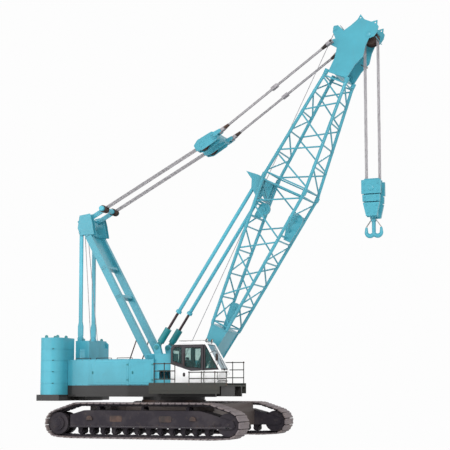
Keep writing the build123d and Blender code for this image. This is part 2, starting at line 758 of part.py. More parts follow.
def counterweight_base():
    """The tray under both stacks, with a tongue under the frame's tail."""
    tray = block(WEIGHT_REAR, WEIGHT_FRONT, -WEIGHT_HALF_WIDTH, WEIGHT_HALF_WIDTH, WEIGHT_BASE_BOTTOM, WEIGHT_BASE_TOP)
    tongue = FRAME_HALF_WIDTH - 20
    return tray + block(WEIGHT_FRONT, FRAME_REAR - 10, -tongue, tongue, WEIGHT_BASE_BOTTOM, WEIGHT_BASE_TOP)


def weight_slab(inset, low, high):
    """One level of the left stack, with its outer corners rounded."""
    width, depth = WEIGHT_HALF_WIDTH - WEIGHT_INNER, WEIGHT_FRONT - WEIGHT_REAR
    middle = Pos((WEIGHT_REAR + WEIGHT_FRONT) / 2, (WEIGHT_INNER + WEIGHT_HALF_WIDTH) / 2)
    body = slab(middle * Rectangle(depth - 2 * inset, width - 2 * inset), low, high)
    outer_edges = body.edges().filter_by(Axis.Z).sort_by(Axis.Y)[-2:]
    return fillet(outer_edges, WEIGHT_CORNER - inset)


def counterweight_stack(sign):
    """A stack of slabs with a shadow groove at each seam."""
    step = (WEIGHT_TOP - WEIGHT_BASE_TOP) / WEIGHT_SLABS
    pieces = []
    for number in range(WEIGHT_SLABS):
        low = WEIGHT_BASE_TOP + number * step
        high = low + step
        if number < WEIGHT_SLABS - 1:
            pieces.append(weight_slab(WEIGHT_GROOVE_DEPTH, high - WEIGHT_GROOVE, high))
            high -= WEIGHT_GROOVE
        pieces.append(weight_slab(0, low, high))
    return on_side(joined(pieces), sign)


def engine_house(spec):
    """A hollow house, open behind its doors, with the doors' pivot brackets above and below them."""
    outer, wall, front = DECK_HALF_WIDTH, HOUSE_WALL, spec["front"]
    shell = block(HOUSE_REAR, front, HOUSE_INNER, outer, DECK_HEIGHT, HOUSE_ROOF)
    shell -= block(HOUSE_REAR + wall, front - wall, HOUSE_INNER + wall, outer - wall, DECK_HEIGHT, HOUSE_ROOF - wall)
    pieces = []
    for x0, x1 in spec["doors"]:
        shell -= block(x0 + wall, x1 - wall, outer - wall, outer, DECK_HEIGHT + DOOR_SILL, HOUSE_ROOF - DOOR_SILL)
        x = x1 - DOOR_GAP / 2
        for z0, z1 in ((DECK_HEIGHT, DECK_HEIGHT + DOOR_EDGE - SEAT), (HOUSE_ROOF - DOOR_EDGE + SEAT, HOUSE_ROOF)):
            pieces.append(block(x - KNUCKLE_WIDTH, x, outer - 1, outer + DOOR_GAP + wall, z0, z1))
    return on_side(shell + pieces, spec["side"])


def house_door(spec, x0, x1):
    """A door panel outside the house wall, between its two pivot brackets."""
    inner = DECK_HALF_WIDTH + DOOR_GAP
    gap = DOOR_GAP / 2
    panel = block(x0 + gap, x1 - gap, inner, inner + HOUSE_WALL, DECK_HEIGHT + DOOR_EDGE, HOUSE_ROOF - DOOR_EDGE)
    return on_side(panel, spec["side"])


def valve_cabinet():
    """The cabinet ahead of the right house, with an open bay and a louvred hood over the house's front."""
    c, o = CABINET, CABINET_OPENING
    body = block(c["rear"], c["front"], c["inner"], c["outer"], DECK_HEIGHT, c["top"])
    wall = HOUSE_WALL
    body -= block(c["rear"] + wall, c["front"] - wall, c["inner"] + wall, c["outer"] - wall, DECK_HEIGHT, c["top"] - wall)
    body -= block(o["rear"], o["front"], c["outer"] - wall, c["outer"], o["bottom"], o["top"])
    hood = block(c["hood_rear"], c["rear"] + 10, c["inner"], c["outer"] - 60, HOUSE_ROOF, c["top"])
    return mirrored(body + hood)


# ---------------------------------------------------------------- cab
CAB_OUTLINE = (
    (CAB_REAR, CAB_FLOOR),
    (CAB_FOOT_FRONT, CAB_FLOOR),
    (CAB_NOSE, CAB_NOSE_HEIGHT),
    (CAB_ROOF_FRONT, CAB_ROOF),
    (CAB_REAR + CAB_REAR_CUT, CAB_ROOF),
    (CAB_REAR, CAB_ROOF - CAB_REAR_CUT),
)
DOOR_WINDOW = (
    (CAB_DOOR_REAR + 90, CAB_FLOOR + 720),
    (CAB_DOOR_FRONT - 90, CAB_FLOOR + 670),
    (CAB_DOOR_FRONT - 90, CAB_DOOR_TOP - 90),
    (CAB_DOOR_REAR + 90, CAB_DOOR_TOP - 90),
)
FRONT_SIDE_WINDOW = (
    (CAB_DOOR_FRONT + 70, CAB_FLOOR + 660),
    (CAB_NOSE - 120, CAB_FLOOR + 660),
    (CAB_DOOR_FRONT + 160, CAB_ROOF - 200),
    (CAB_DOOR_FRONT + 70, CAB_ROOF - 140),
)
REAR_SIDE_WINDOW = (
    (CAB_REAR + 90, CAB_FLOOR + 960),
    (CAB_DOOR_REAR - 80, CAB_FLOOR + 840),
    (CAB_DOOR_REAR - 80, CAB_ROOF - 140),
    (CAB_REAR + 200, CAB_ROOF - 140),
    (CAB_REAR + 90, CAB_ROOF - 260),
)
REAR_WINDOW = dict(bottom=CAB_FLOOR + 870, top=CAB_ROOF - 260, margin=130)
SCREEN_SHARES = (0.05, 0.95)


def cab_profile(margin, y0, y1):
    """The cab's side outline, drawn in by a margin and carried from y0 to y1."""
    plane = Plane(origin=(0, max(y0, y1), 0), x_dir=(1, 0, 0), z_dir=(0, -1, 0))
    face = face_of(CAB_OUTLINE)
    if margin:
        face = offset(face, -margin, kind=Kind.INTERSECTION)
    return extrude(plane * face, amount=abs(y1 - y0))


def behind_screen(depth0, depth1, y0, y1):
    """A slab between two depths behind the sloping windscreen."""
    bottom, top = (CAB_NOSE, CAB_NOSE_HEIGHT), (CAB_ROOF_FRONT, CAB_ROOF)
    dx, dz = top[0] - bottom[0], top[1] - bottom[1]
    length = hypot(dx, dz)
    inward = (-dz / length, dx / length)
    low, high = SCREEN_SHARES
    corners = []
    for share, depth in ((low, depth0), (high, depth0), (high, depth1), (low, depth1)):
        corners.append((bottom[0] + dx * share + inward[0] * depth, bottom[1] + dz * share + inward[1] * depth))
    return side_plate(corners, y0, y1)


def cab_shell():
    """The hollow cab with its door opening and windows cut, and the rails that the door slides in."""
    shell = cab_profile(0, CAB_OUTER, CAB_INNER)
    shell -= cab_profile(CAB_WALL, CAB_OUTER + CAB_WALL, CAB_INNER - CAB_WALL)
    outer, inner = (CAB_OUTER, CAB_OUTER + CAB_WALL), (CAB_INNER - CAB_WALL, CAB_INNER)
    edge = 40
    opening = (
        (CAB_DOOR_REAR + edge, CAB_DOOR_BOTTOM + edge),
        (CAB_DOOR_FRONT - edge, CAB_DOOR_BOTTOM + edge),
        (CAB_DOOR_FRONT - edge, CAB_DOOR_TOP - edge),
        (CAB_DOOR_REAR + edge, CAB_DOOR_TOP - edge),
    )
    rear = REAR_WINDOW
    y0, y1 = CAB_OUTER + rear["margin"], CAB_INNER - rear["margin"]
    cuts = [
        side_plate(opening, *outer),
        side_plate(FRONT_SIDE_WINDOW, *outer),
        side_plate(REAR_SIDE_WINDOW, *outer),
        side_plate(FRONT_SIDE_WINDOW, *inner),
        side_plate(DOOR_WINDOW, *inner),
        side_plate(REAR_SIDE_WINDOW, *inner),
        behind_screen(-1, CAB_WALL + 15, CAB_OUTER + SCREEN_SIDE, CAB_INNER - SCREEN_SIDE),
        block(CAB_REAR, CAB_REAR + CAB_WALL, y0, y1, rear["bottom"], rear["top"]),
    ]
    for cut in cuts:
        shell -= cut
    rails = []
    x0, x1 = CAB_DOOR_REAR - CAB_DOOR_TRAVEL, CAB_DOOR_FRONT
    for z0, z1 in ((CAB_DOOR_BOTTOM - SEAT - CAB_RAIL, CAB_DOOR_BOTTOM - SEAT),
                   (CAB_DOOR_TOP + SEAT, CAB_DOOR_TOP + SEAT + CAB_RAIL)):
        rails.append(block(x0, x1, CAB_OUTER + 1, CAB_OUTER - CAB_RAIL_DEPTH, z0, z1))
    return shell + rails


def cab_glass():
    """Fixed panes set in the middle of the walls."""
    mid = (CAB_WALL - PANE) / 2
    outer, inner = CAB_OUTER + mid, CAB_INNER - mid - PANE
    panes = [side_plate(DOOR_WINDOW, inner, inner + PANE)]
    for y in (outer, inner):
        panes.append(side_plate(FRONT_SIDE_WINDOW, y, y + PANE))
        panes.append(side_plate(REAR_SIDE_WINDOW, y, y + PANE))
    panes.append(behind_screen(mid, mid + PANE, CAB_OUTER + SCREEN_SIDE, CAB_INNER - SCREEN_SIDE))
    rear = REAR_WINDOW
    y0, y1 = CAB_OUTER + rear["margin"], CAB_INNER - rear["margin"]
    panes.append(block(CAB_REAR + mid, CAB_REAR + mid + PANE, y0, y1, rear["bottom"], rear["top"]))
    return joined(panes)


def cab_door():
    """The sliding door's frame, outside the wall and between its rails."""
    face = CAB_OUTER - CAB_DOOR_PLAY
    outline = (
        (CAB_DOOR_REAR, CAB_DOOR_BOTTOM),
        (CAB_DOOR_FRONT, CAB_DOOR_BOTTOM),
        (CAB_DOOR_FRONT, CAB_DOOR_TOP),
        (CAB_DOOR_REAR, CAB_DOOR_TOP),
    )
    y0, y1 = face - CAB_DOOR_THICKNESS, face
    return side_plate(outline, y0, y1) - side_plate(DOOR_WINDOW, y0, y1)


def cab_door_glass():
    face = CAB_OUTER - CAB_DOOR_PLAY - (CAB_DOOR_THICKNESS - PANE) / 2
    return side_plate(DOOR_WINDOW, face - PANE, face)


def cab_seat():
    """The operator's seat and its side consoles, on the cab's floor."""
    floor = CAB_FLOOR + CAB_WALL
    middle = (CAB_OUTER + CAB_INNER) / 2
    back = ((1180, floor + 450), (1310, floor + 450), (1210, floor + 1080), (1100, floor + 1080))
    pieces = [
        block(1230, 1640, middle - 200, middle + 200, floor, floor + 330),
        block(1180, 1700, middle - 250, middle + 250, floor + 330, floor + 450),
        side_plate(back, middle - 240, middle + 240),
    ]
    for sign in (-1, 1):
        pieces.append(block(1300, 1820, middle + sign * 270, middle + sign * 400, floor, floor + 620))
    return joined(pieces)


# ---------------------------------------------------------------- walkways
def railing(spec, y):
    """Posts and level bars at one Y."""
    posts = spec["posts"]
    top = DECK_HEIGHT + spec["top"]
    pieces = [six_sided((x, y, DECK_HEIGHT - 5), (x, y, top), RAIL_RADIUS) for x in posts]
    for rise in (*spec["bars"], spec["top"] - RAIL_RADIUS):
        z = DECK_HEIGHT + rise
        pieces.append(six_sided((posts[0], y, z), (posts[-1], y, z), RAIL_RADIUS))
    return pieces


def walkway_right():
    """The platform beside and in front of the cab, with its fascias and rails."""
    outer, inner = -WALKWAY_OUTER, -DECK_HALF_WIDTH
    low, top = DECK_HEIGHT - DECK_PLATE, DECK_HEIGHT
    platform = [
        block(WALKWAY_REAR, WALKWAY_FRONT, outer, inner, low, top),
        block(WALKWAY_REAR, WALKWAY_FRONT - 300, outer, outer + FASCIA, WALKWAY_FASCIA, top),
        block(WALKWAY_REAR, WALKWAY_REAR + FASCIA, outer, inner, WALKWAY_FASCIA, top),
        block(DECK_FRONT + SEAT, WALKWAY_FRONT, inner, -300, low, top),
    ]
    return joined(platform + railing(TALL_RAILS, outer + 30) + railing(LOW_RAILS, outer + 30))


def walkway_left():
    """The narrow platform ahead of the left house."""
    inner, outer = DECK_HALF_WIDTH, LEFT_WALKWAY_OUTER
    rear = HOUSES["left"]["front"] + 40
    platform = [
        block(rear, DECK_FRONT, inner, outer, DECK_HEIGHT - DECK_PLATE, DECK_HEIGHT),
        block(rear, DECK_FRONT, outer - FASCIA, outer, WALKWAY_FASCIA, DECK_HEIGHT),
    ]
    return joined(platform + railing(LEFT_RAILS, outer - 30))


# ================================================================ gantry
def gantry_leg():
    """One leg on the left, in the gantry's turned frame: an eye, a taper and a long box."""
    half, neck = LEG_DEPTH / 2, LEG_EYE * 0.9
    inner, outer = TOWER_PLATE_INNER + TOWER_PLATE + SEAT, 2 * BACKSTOP_HALF - TOWER_PLATE_INNER - TOWER_PLATE - SEAT
    foot = slab(Circle(LEG_EYE), inner, outer)
    foot += slab(face_of(((0, -neck), (LEG_START + 60, -half), (LEG_START + 60, half), (0, neck))), inner, outer)
    foot -= slab(Circle(GANTRY_PIN + PIN_PLAY), inner, outer)
    low = GANTRY_HALF - LEG_WIDTH / 2
    return foot + slab(face_of(((LEG_START, -half), (LEG_LENGTH, -half), (LEG_LENGTH, half), (LEG_START, half))),
                       low, low + LEG_WIDTH)


def gantry_legs():
    """Both legs, their cross ties, the plated bay and the peak's side plates with the links' pins."""
    inside = GANTRY_HALF - LEG_WIDTH / 2 + 10
    half = LEG_DEPTH / 2
    pieces = [twin(gantry_leg())]
    for place in GANTRY_TIES:
        pieces.append(block(place - GANTRY_TIE, place, -half * 0.75, half * 0.75, -inside, inside))
    pieces.append(block(GANTRY_PLATE_FROM, GANTRY_PLATE_TO, -20, 20, -inside, inside))
    legs = turned(GANTRY_FOOT, GANTRY_LEAN) * joined(pieces)
    px, pz = PEAK_PIN
    lx, lz = LINK_TOP
    plates = []
    for start in (GANTRY_HALF - LEG_WIDTH / 2 - PEAK_PLATE, GANTRY_HALF + LEG_WIDTH / 2):
        outline = [(GANTRY_TOP[0] + x, GANTRY_TOP[1] + z) for x, z in PEAK_OUTLINE]
        plates.append(side_plate(outline, start, start + PEAK_PLATE))
    low, high = GANTRY_HALF - LEG_WIDTH / 2 - PEAK_PLATE, GANTRY_HALF + LEG_WIDTH / 2 + PEAK_PLATE
    plates.append(across(lx, lz, LINK_PIN, low, high))
    peak = both_sides(joined(plates))
    return legs + peak - across(px, pz, PEAK_BORE + PIN_PLAY, -low - PEAK_PLATE, low + PEAK_PLATE)


def gantry_links():
    """The two rear links that hold the gantry back, pinned at the peak and on the rear tower."""
    (x0, z0), (x1, z1) = LINK_FOOT, LINK_TOP
    inner = GANTRY_HALF - 20 - LINK_THICKNESS / 2
    outer = inner + LINK_THICKNESS
    half, shoe = LINK_BAR / 2, LINK_SHOE / 2
    link = side_plate(((x0 - half, z0), (x0 + half, z0), (x1 + half, z1), (x1 - half, z1)), inner, outer)
    start, end = z0 + LINK_SHOE_START, z0 + LINK_SHOE_END
    taper = end + LINK_SHOE_TAPER
    link += side_plate(((x0 - half, z0), (x0 - shoe, start), (x0 - shoe, end), (x0 - half, taper),
                        (x0 + half, taper), (x0 + shoe, end), (x0 + shoe, start), (x0 + half, z0)), inner, outer)
    for x, z in (LINK_FOOT, LINK_TOP):
        link += across(x, z, LINK_EYE, inner, outer)
    for x, z in (LINK_FOOT, LINK_TOP):
        link -= across(x, z, LINK_PIN + PIN_PLAY, inner, outer)
    return both_sides(link)


def gantry_props():
    """The two slim cylinders that lift the gantry, from the deck to the backs of its legs."""
    (x0, z0), (x1, z1) = PROP_FOOT, PROP_TOP
    y = GANTRY_HALF
    middle = ((x0 + x1) / 2, y, (z0 + z1) / 2)
    prop = bar((x0, y, z0 + 40), middle, PROP_RADIUS) + bar(middle, (x1, y, z1), PROP_RADIUS * 0.55)
    prop += block(x0 - 90, x0 + 90, y - 70, y + 70, z0, z0 + 90)
    return both_sides(prop)


# ================================================================ boom
def station(u):
    """Back chord, front chord and half width at a distance along the boom."""
    low, high = (STATIONS[0], STATIONS[1]) if u <= SECTION_JOINT else (STATIONS[1], STATIONS[2])
    share = (u - low[0]) / (high[0] - low[0])
    return tuple(a + (b - a) * share for a, b in zip(low[1:], high[1:]))


def corner(u, face, side):
    """A chord's middle: face -1 is the back chord and 1 the front one, side -1 the right and 1 the left."""
    back, front, half = station(u)
    return u, back if face < 0 else front, side * half


CORNERS = ((-1, -1), (-1, 1), (1, 1), (1, -1))
FACES = tuple(zip(CORNERS, CORNERS[1:] + CORNERS[:1]))


def straight_socket(u0, u1, at, place):
    """A thicker round end on a chord, straight along the boom so that two ends meet flat."""
    _, v, z = corner(place, *at)
    return bar((u0, v, z), (u1, v, z), JOINT_RADIUS)


def chords(start, end):
    return [bar(corner(start, *at), corner(end, *at), CHORD_RADIUS) for at in CORNERS]


def lower_chords():
    """The lower section's chords, cut square where they stand on the foot's flange."""
    back, front, half = station(CHORD_START)
    face = FOOT_BOX_TO + FOOT_FLANGE_STEP + SEAT
    reach = half + 4 * CHORD_RADIUS
    below = block(CHORD_START - reach, face, back - reach, front + reach, -reach, reach)
    pieces = []
    for chord, at in zip(chords(CHORD_START, SECTION_JOINT - JOINT_LENGTH / 3), CORNERS):
        pieces.append(chord - below)
        pieces.append(straight_socket(SECTION_JOINT - JOINT_LENGTH, SECTION_JOINT, at, SECTION_JOINT))
    return pieces


def strut(start, end, radius=LACING_RADIUS):
    """A strut between two chords, each end cut to seat on its chord. Ends are (distance, face, side)."""
    body = six_sided(corner(*start), corner(*end), radius)
    for u, face, side in (start, end):
        low, high = u - STRUT_CUT, u + STRUT_CUT
        if u <= SECTION_JOINT:
            high = min(high, SECTION_JOINT)
        else:
            low = max(low, SECTION_JOINT)
        body -= bar(corner(low, face, side), corner(high, face, side), CHORD_RADIUS + SEAT)
    return body


def cross_struts(u, faces):
    """Level struts at one distance along the boom."""
    return [strut((u, *a), (u, *b)) for a, b in faces]


def lacing(bays):
    """One zigzag line of struts on each face, squared at both ends and braced across at each bay."""
    pieces = []
    for number, (u0, u1) in enumerate(zip(bays, bays[1:])):
        for a, b in FACES:
            first, second = (a, b) if number % 2 == 0 else (b, a)
            pieces.append(strut((u0 + LACING_GAP, *first), (u1 - LACING_GAP, *second)))
    for u in bays[1:-1]:
        pieces += cross_struts(u, FACES[::2])
    return pieces + cross_struts(bays[0], FACES) + cross_struts(bays[-1], FACES)


def foot_plates():
    """The left foot plate of the boom with its boss and pin."""
    back, front, _ = station(FOOT_BOX_TO)
    near_back, near_front = back * FOOT_BOX_FROM / FOOT_BOX_TO, front * FOOT_BOX_FROM / FOOT_BOX_TO
    edge = FOOT_BOSS * 0.95
    outline = (
        (0, -edge), (FOOT_BOX_FROM, near_back - edge * 0.5), (FOOT_BOX_TO, back - 40),
        (FOOT_BOX_TO, front + 40), (FOOT_BOX_FROM, near_front + edge * 0.5), (0, edge),
    )
    low, high = FOOT_PLATE_INNER, FOOT_PLATE_INNER + FOOT_PLATE
    reach = FOOT_EAR + FOOT_EAR_GAP
    return joined([
        slab(face_of(outline), low, high),
        slab(Circle(FOOT_BOSS), low, high),
        slab(Circle(BOOM_PIN_RADIUS), low - reach, high + reach),
    ])


def foot_box():
    """Front and back sheets and the flange that close the foot between its plates."""
    back, front, half = station(FOOT_BOX_TO)
    width = FOOT_PLATE_INNER + 10
    share = FOOT_BOX_FROM / FOOT_BOX_TO
    pieces = []
    for edge, sign in ((back, -1), (front, 1)):
        v0, v1 = edge * share + sign * 60, edge + sign * 10
        strip = ((FOOT_BOX_FROM, v0), (FOOT_BOX_TO, v1), (FOOT_BOX_TO, v1 - sign * FOOT_SHEET),
                 (FOOT_BOX_FROM, v0 - sign * FOOT_SHEET))
        pieces.append(slab(face_of(strip), -width, width))
    pieces.append(block(FOOT_BOX_TO - FOOT_SHEET, FOOT_BOX_TO + FOOT_FLANGE_STEP, back - 50, front + 50, -half, half))
    return pieces


def rope_guides():
    """Rounded twin plates in the boom's middle, and the cross bars that hold them."""
    pieces = []
    for (u0, v0), (u1, v1), radius, hub in GUIDES:
        outline = ((u0, v0 - radius * 0.45), (u1, v1 - radius), (u1, v1 + radius), (u0, v0 + radius * 0.45))
        pieces.append(slab(face_of(outline), -GUIDE_HALF, GUIDE_HALF))
        pieces.append(slab(Pos(u1, v1) * Circle(radius), -GUIDE_HALF, GUIDE_HALF))
        pieces.append(slab(Pos(u1, v1) * Circle(hub), -GUIDE_HALF - 30, GUIDE_HALF + 30))
    for u, face in GUIDE_BARS:
        pieces.append(strut((u, face, -1), (u, face, 1), LACING_RADIUS * 1.3))
    return pieces


def backstop_brackets():
    """The left fork of two plates behind the back chord, with its horn."""
    u, v = BACKSTOP_PIN
    start, end = BRACKET["start"], BRACKET["end"]
    outline = (
        (start - 60, station(start)[0]), (end + 60, station(end)[0]), (end + 80, v), HORN_TIP, (end - 190, v - 190),
        (u + 30, v - 120), (u - 110, v - 60),
    )
    plates = []
    for inner in (BACKSTOP_HALF - BRACKET["gap"] - BRACKET["plate"], BACKSTOP_HALF + BRACKET["gap"]):
        plates.append(slab(face_of(outline), inner, inner + BRACKET["plate"]))
    return joined(plates)


def boom_base():
    """The foot, four chords, lacing, rope guides and backstop brackets of the lower section."""
    pieces = lower_chords() + lacing(LOWER_BAYS)
    for u in (BRACKET["start"], BRACKET["end"]):
        pieces.append(strut((u, -1, -1), (u, -1, 1), LACING_RADIUS * 1.4))
    pieces += [twin(foot_plates()), *foot_box(), twin(backstop_brackets()), *rope_guides()]
    return BOOM * joined(pieces)


def boom_top():
    """The tapering upper section."""
    pieces = chords(SECTION_JOINT + JOINT_LENGTH / 3, HEAD_END - JOINT_LENGTH / 3)
    for at in CORNERS:
        pieces.append(straight_socket(SECTION_JOINT, SECTION_JOINT + JOINT_LENGTH, at, SECTION_JOINT))
        pieces.append(straight_socket(HEAD_END - JOINT_LENGTH, HEAD_END, at, HEAD_END))
    return BOOM * joined(pieces + lacing(UPPER_BAYS))


def boom_head():
    """The two side plates of the head with the chord ends, cross tubes, bottom sheet and front bracket."""
    inside = HEAD_PLATE_INNER + 5
    plate = slab(face_of(HEAD_OUTLINE), HEAD_PLATE_INNER, HEAD_PLATE_INNER + HEAD_PLATE)
    for u, v in JIB_BORES:
        plate -= slab(Pos(u, v) * Circle(JIB_BORE_RADIUS), HEAD_PLATE_INNER, HEAD_PLATE_INNER + HEAD_PLATE)
    pieces = [twin(plate)]
    for u, v, radius in HEAD_TUBES:
        pieces.append(slab(Pos(u, v) * Circle(radius), -inside, inside))
    for at in CORNERS:
        pieces.append(straight_socket(HEAD_END, HEAD_END + JOINT_LENGTH, at, HEAD_END))
    pieces.append(block(HEAD_END + 20, HEAD_END + 60, -150, 380, -inside, inside))
    return BOOM * joined(pieces)


def grooved_wheel(u, v, radius, groove, middle, width):
    """A rope wheel between two rims, on an axis to the left."""
    wheel = slab(Pos(u, v) * Circle(groove), middle - width / 2, middle + width / 2)
    for sign in (-1, 1):
        outer = middle + sign * width / 2
        inner = outer - sign * SHEAVE_RIM
        wheel += slab(Pos(u, v) * RegularPolygon(radius, SHEAVE_SIDES), min(inner, outer), max(inner, outer))
    return wheel


def head_sheaves():
    """The row of head sheaves on their shaft, the rear guide sheave and the front one."""
    inside = HEAD_PLATE_INNER
    u, v = HEAD_SHAFT
    groups = [[slab(Pos(u, v) * Circle(70), -inside, inside)]]
    for y in SHEAVE_PLACES:
        groups[0].append(grooved_wheel(u, v, HEAD_SHEAVE_RADIUS, FALL_OFFSET - ROPE_RADIUS - SEAT, y, SHEAVE_WIDTH))
    u, v = GUIDE_SHEAVE
    groups.append([
        slab(Pos(u, v) * Circle(50), -inside, inside),
        grooved_wheel(u, v, GUIDE_SHEAVE_RADIUS, GUIDE_SHEAVE_RADIUS - 30, 0, SHEAVE_WIDTH),
    ])
    return BOOM * joined([joined(group) for group in groups])


# ================================================================ stays
STAY = turned(PEAK_PIN, STAY_ANGLE)
BAIL_PIN = along(PEAK_PIN, STAY_ANGLE, PENDANT_REACH)
PENDANT_EYE = on_boom(*PENDANT_PIN)
PENDANT_LENGTH, PENDANT_ANGLE = between(BAIL_PIN, PENDANT_EYE)
PENDANT = turned(BAIL_PIN, PENDANT_ANGLE)


def spreader():
    """The frame pinned at the gantry's peak that carries the row of stay sheaves."""
    plate_inner = GANTRY_HALF - LEG_WIDTH / 2 - PEAK_PLATE
    shaft = slab(Circle(PEAK_BORE), -plate_inner - PEAK_PLATE, plate_inner + PEAK_PLATE)
    arm = face_of(((-90, -90), (SPREADER_REACH, -100), (SPREADER_REACH, 100), (-90, 90)))
    arm = slab(arm, plate_inner - 70, plate_inner - 20)
    row = slab(Pos(SPREADER_REACH - 40, 0) * Circle(110), -SPREADER_HALF, SPREADER_HALF)
    return STAY * joined([shaft, twin(arm), row])


def stay_ropes():
    """The reeving between the spreader and the bail, as straight falls."""
    start, end = SPREADER_REACH + 70 + SEAT, BAIL_REACH - 200 - SEAT
    return STAY * joined([lengthwise(start, end, y, ROPE_RADIUS) for y in STAY_ROPES])


def bail():
    """The floating spreader: two sheave blocks on a cross beam with forks for the pendants."""
    start, end = BAIL_REACH - 200, PENDANT_REACH
    pieces = [block(end - 420, end - 180, -120, 120, -BAIL_HALF, BAIL_HALF)]
    outline = ((start, -130), (start + 250, -260), (end - 350, -240), (end - 180, -80), (end - 180, 80),
               (end - 350, 200), (start + 250, 230), (start, 130))
    wheels = Pos(start + 330, 0) * Circle(190)
    for low, high in ((-660, -260), (260, 660)):
        pieces.append(slab(face_of(outline), low, low + 30))
        pieces.append(slab(face_of(outline), high - 30, high))
        pieces.append(slab(wheels, low, high))
        pieces.append(block(start, start + 60, -110, 110, low, high))
    fork = slab(face_of(((end - 200, -90), (end + 60, -70), (end + 60, 70), (end - 200, 90))), 0, 30)
    inner, outer = PENDANT_INNER - 80, PENDANT_OUTER + 50
    for place in (inner, outer):
        pieces.append(twin(Pos(0, 0, place) * fork))
    pieces.append(twin(block(end - 300, end - 150, -90, 90, inner, outer + 30)))
    pin = slab(Pos(end, 0) * Circle(PENDANT_PIN_RADIUS), inner, outer + 30)
    pieces.append(twin(pin))
    return STAY * joined(pieces)


def pendants():
    """Twin bridging ropes each side, with link plates at both ends and in the middle."""
    pieces = [lengthwise(0, PENDANT_LENGTH, y, PENDANT_ROPE) for y in (PENDANT_INNER, PENDANT_OUTER)]
    for middle, half in ((80, 150), (PENDANT_LENGTH / 2, 150), (PENDANT_LENGTH - 80, 150)):
        for y in (PENDANT_INNER, PENDANT_OUTER):
            pieces.append(block(middle - half, middle + half, -60, 60, y - 35, y + 35))
    pieces.append(block(PENDANT_LENGTH / 2 - 30, PENDANT_LENGTH / 2 + 30, -40, 40, PENDANT_INNER, PENDANT_OUTER))
    side = joined(pieces)
    side -= slab(Circle(PENDANT_PIN_RADIUS + PIN_PLAY), PENDANT_INNER - 60, PENDANT_OUTER + 60)
    plate_face = HEAD_PLATE_INNER + HEAD_PLATE + SEAT
    side += slab(Pos(PENDANT_LENGTH, 0) * Circle(PENDANT_PIN_RADIUS), plate_face, PENDANT_OUTER + 60)
    return PENDANT * twin(side)


# ================================================================ backstops
BACKSTOP_EYE = on_boom(*BACKSTOP_PIN)
BACKSTOP_LENGTH, BACKSTOP_ANGLE = between(BACKSTOP_BASE, BACKSTOP_EYE)
BACKSTOP = turned(BACKSTOP_BASE, BACKSTOP_ANGLE)


def backstop_cylinders():
    """The lower cylinders with their eyes, and the long rods that run up inside the tubes."""
    y, eye = BACKSTOP_HALF, BACKSTOP_EYE_HALF
    side = joined([
        slab(Circle(LEG_EYE * 0.85), y - eye, y + eye),
        block(0, CYLINDER_START + 20, -90, 90, y - eye, y + eye),
        lengthwise(CYLINDER_START, CYLINDER_END, y, CYLINDER_RADIUS),
        lengthwise(CYLINDER_END, CYLINDER_END + ROD_LENGTH, y, ROD_RADIUS),
    ])
    side -= slab(Circle(BACKSTOP_PIN_RADIUS + PIN_PLAY), y - eye, y + eye)
    return BACKSTOP * twin(side)


def backstop_tubes():
    """The long tubes that slide on the rods, flared at the mouth and eyed at the top."""
    y, end = BACKSTOP_HALF, BACKSTOP_LENGTH
    side = joined([
        lengthwise(TUBE_START, TUBE_START + MOUTH_LENGTH, y, MOUTH_RADIUS),
        lengthwise(TUBE_START, end - 60, y, TUBE_RADIUS),
    ])
    side -= lengthwise(TUBE_START, TUBE_START + GLAND_LENGTH, y, ROD_RADIUS + PIN_PLAY)
    side -= lengthwise(TUBE_START + GLAND_LENGTH, end - 300, y, TUBE_BORE)
    reach = BRACKET["gap"] - SEAT
    side += slab(Pos(end, 0) * Circle(90), y - 55, y + 55)
    side += slab(Pos(end, 0) * Circle(TUBE_PIN_RADIUS), y - reach, y + reach)
    return BACKSTOP * twin(side)


# ================================================================ hoist falls, block and hook
HEAD_X, HEAD_Z = on_boom(*HEAD_SHAFT)


def hoist_falls():
    """The rope parts between the head sheaves and the hook block."""
    falls = []
    for y in SHEAVE_PLACES:
        for sign in (-1, 1):
            x = HEAD_X + sign * FALL_OFFSET
            falls.append(bar((x, y, BLOCK_SHEAVE_HEIGHT), (x, y, HEAD_Z), ROPE_RADIUS))
    return joined(falls)


def hook_block():
    """Cheek plates with three tiers of bolted weights, the sheaves, their shaft and the trunnion."""
    x, z, top, low = HEAD_X, BLOCK_SHEAVE_HEIGHT, BLOCK_TOP, BLOCK_BOTTOM
    plate_outer = BLOCK_HALF - CHEEK_WEIGHT
    plate_inner = plate_outer - CHEEK_PLATE
    outline = ((x - 300, top), (x + 300, top), (x + 330, z - 400), (x + 200, low), (x - 200, low), (x - 330, z - 400))
    side = side_plate(outline, plate_inner, plate_outer)
    tiers = ((top - 70, z - 230, 385, 385), (z - 270, z - 540, 350, 340), (z - 580, low + 30, 330, 210))
    for high, bottom, wide, narrow in tiers:
        tier = ((x - wide, high), (x + wide, high), (x + narrow, bottom), (x - narrow, bottom))
        side += side_plate(tier, plate_outer, BLOCK_HALF)
    pieces = [both_sides(side), across(x, z, 60, -plate_outer, plate_outer)]
    for y in SHEAVE_PLACES:
        for sign in (-1, 1):
            outer = y + sign * SHEAVE_WIDTH / 2
            pieces.append(faceted(x, z, BLOCK_SHEAVE_RADIUS, outer, outer - sign * SHEAVE_RIM, SHEAVE_SIDES))
        pieces.append(across(x, z, FALL_OFFSET - ROPE_RADIUS - SEAT, y - SHEAVE_WIDTH / 2, y + SHEAVE_WIDTH / 2))
    pieces.append(block(x - 170, x + 170, -plate_outer, plate_outer, low + 60, low + 260))
    return joined(pieces) - Pos(x, 0, low + 160) * Cylinder(HOOK_NECK + PIN_PLAY, 240)


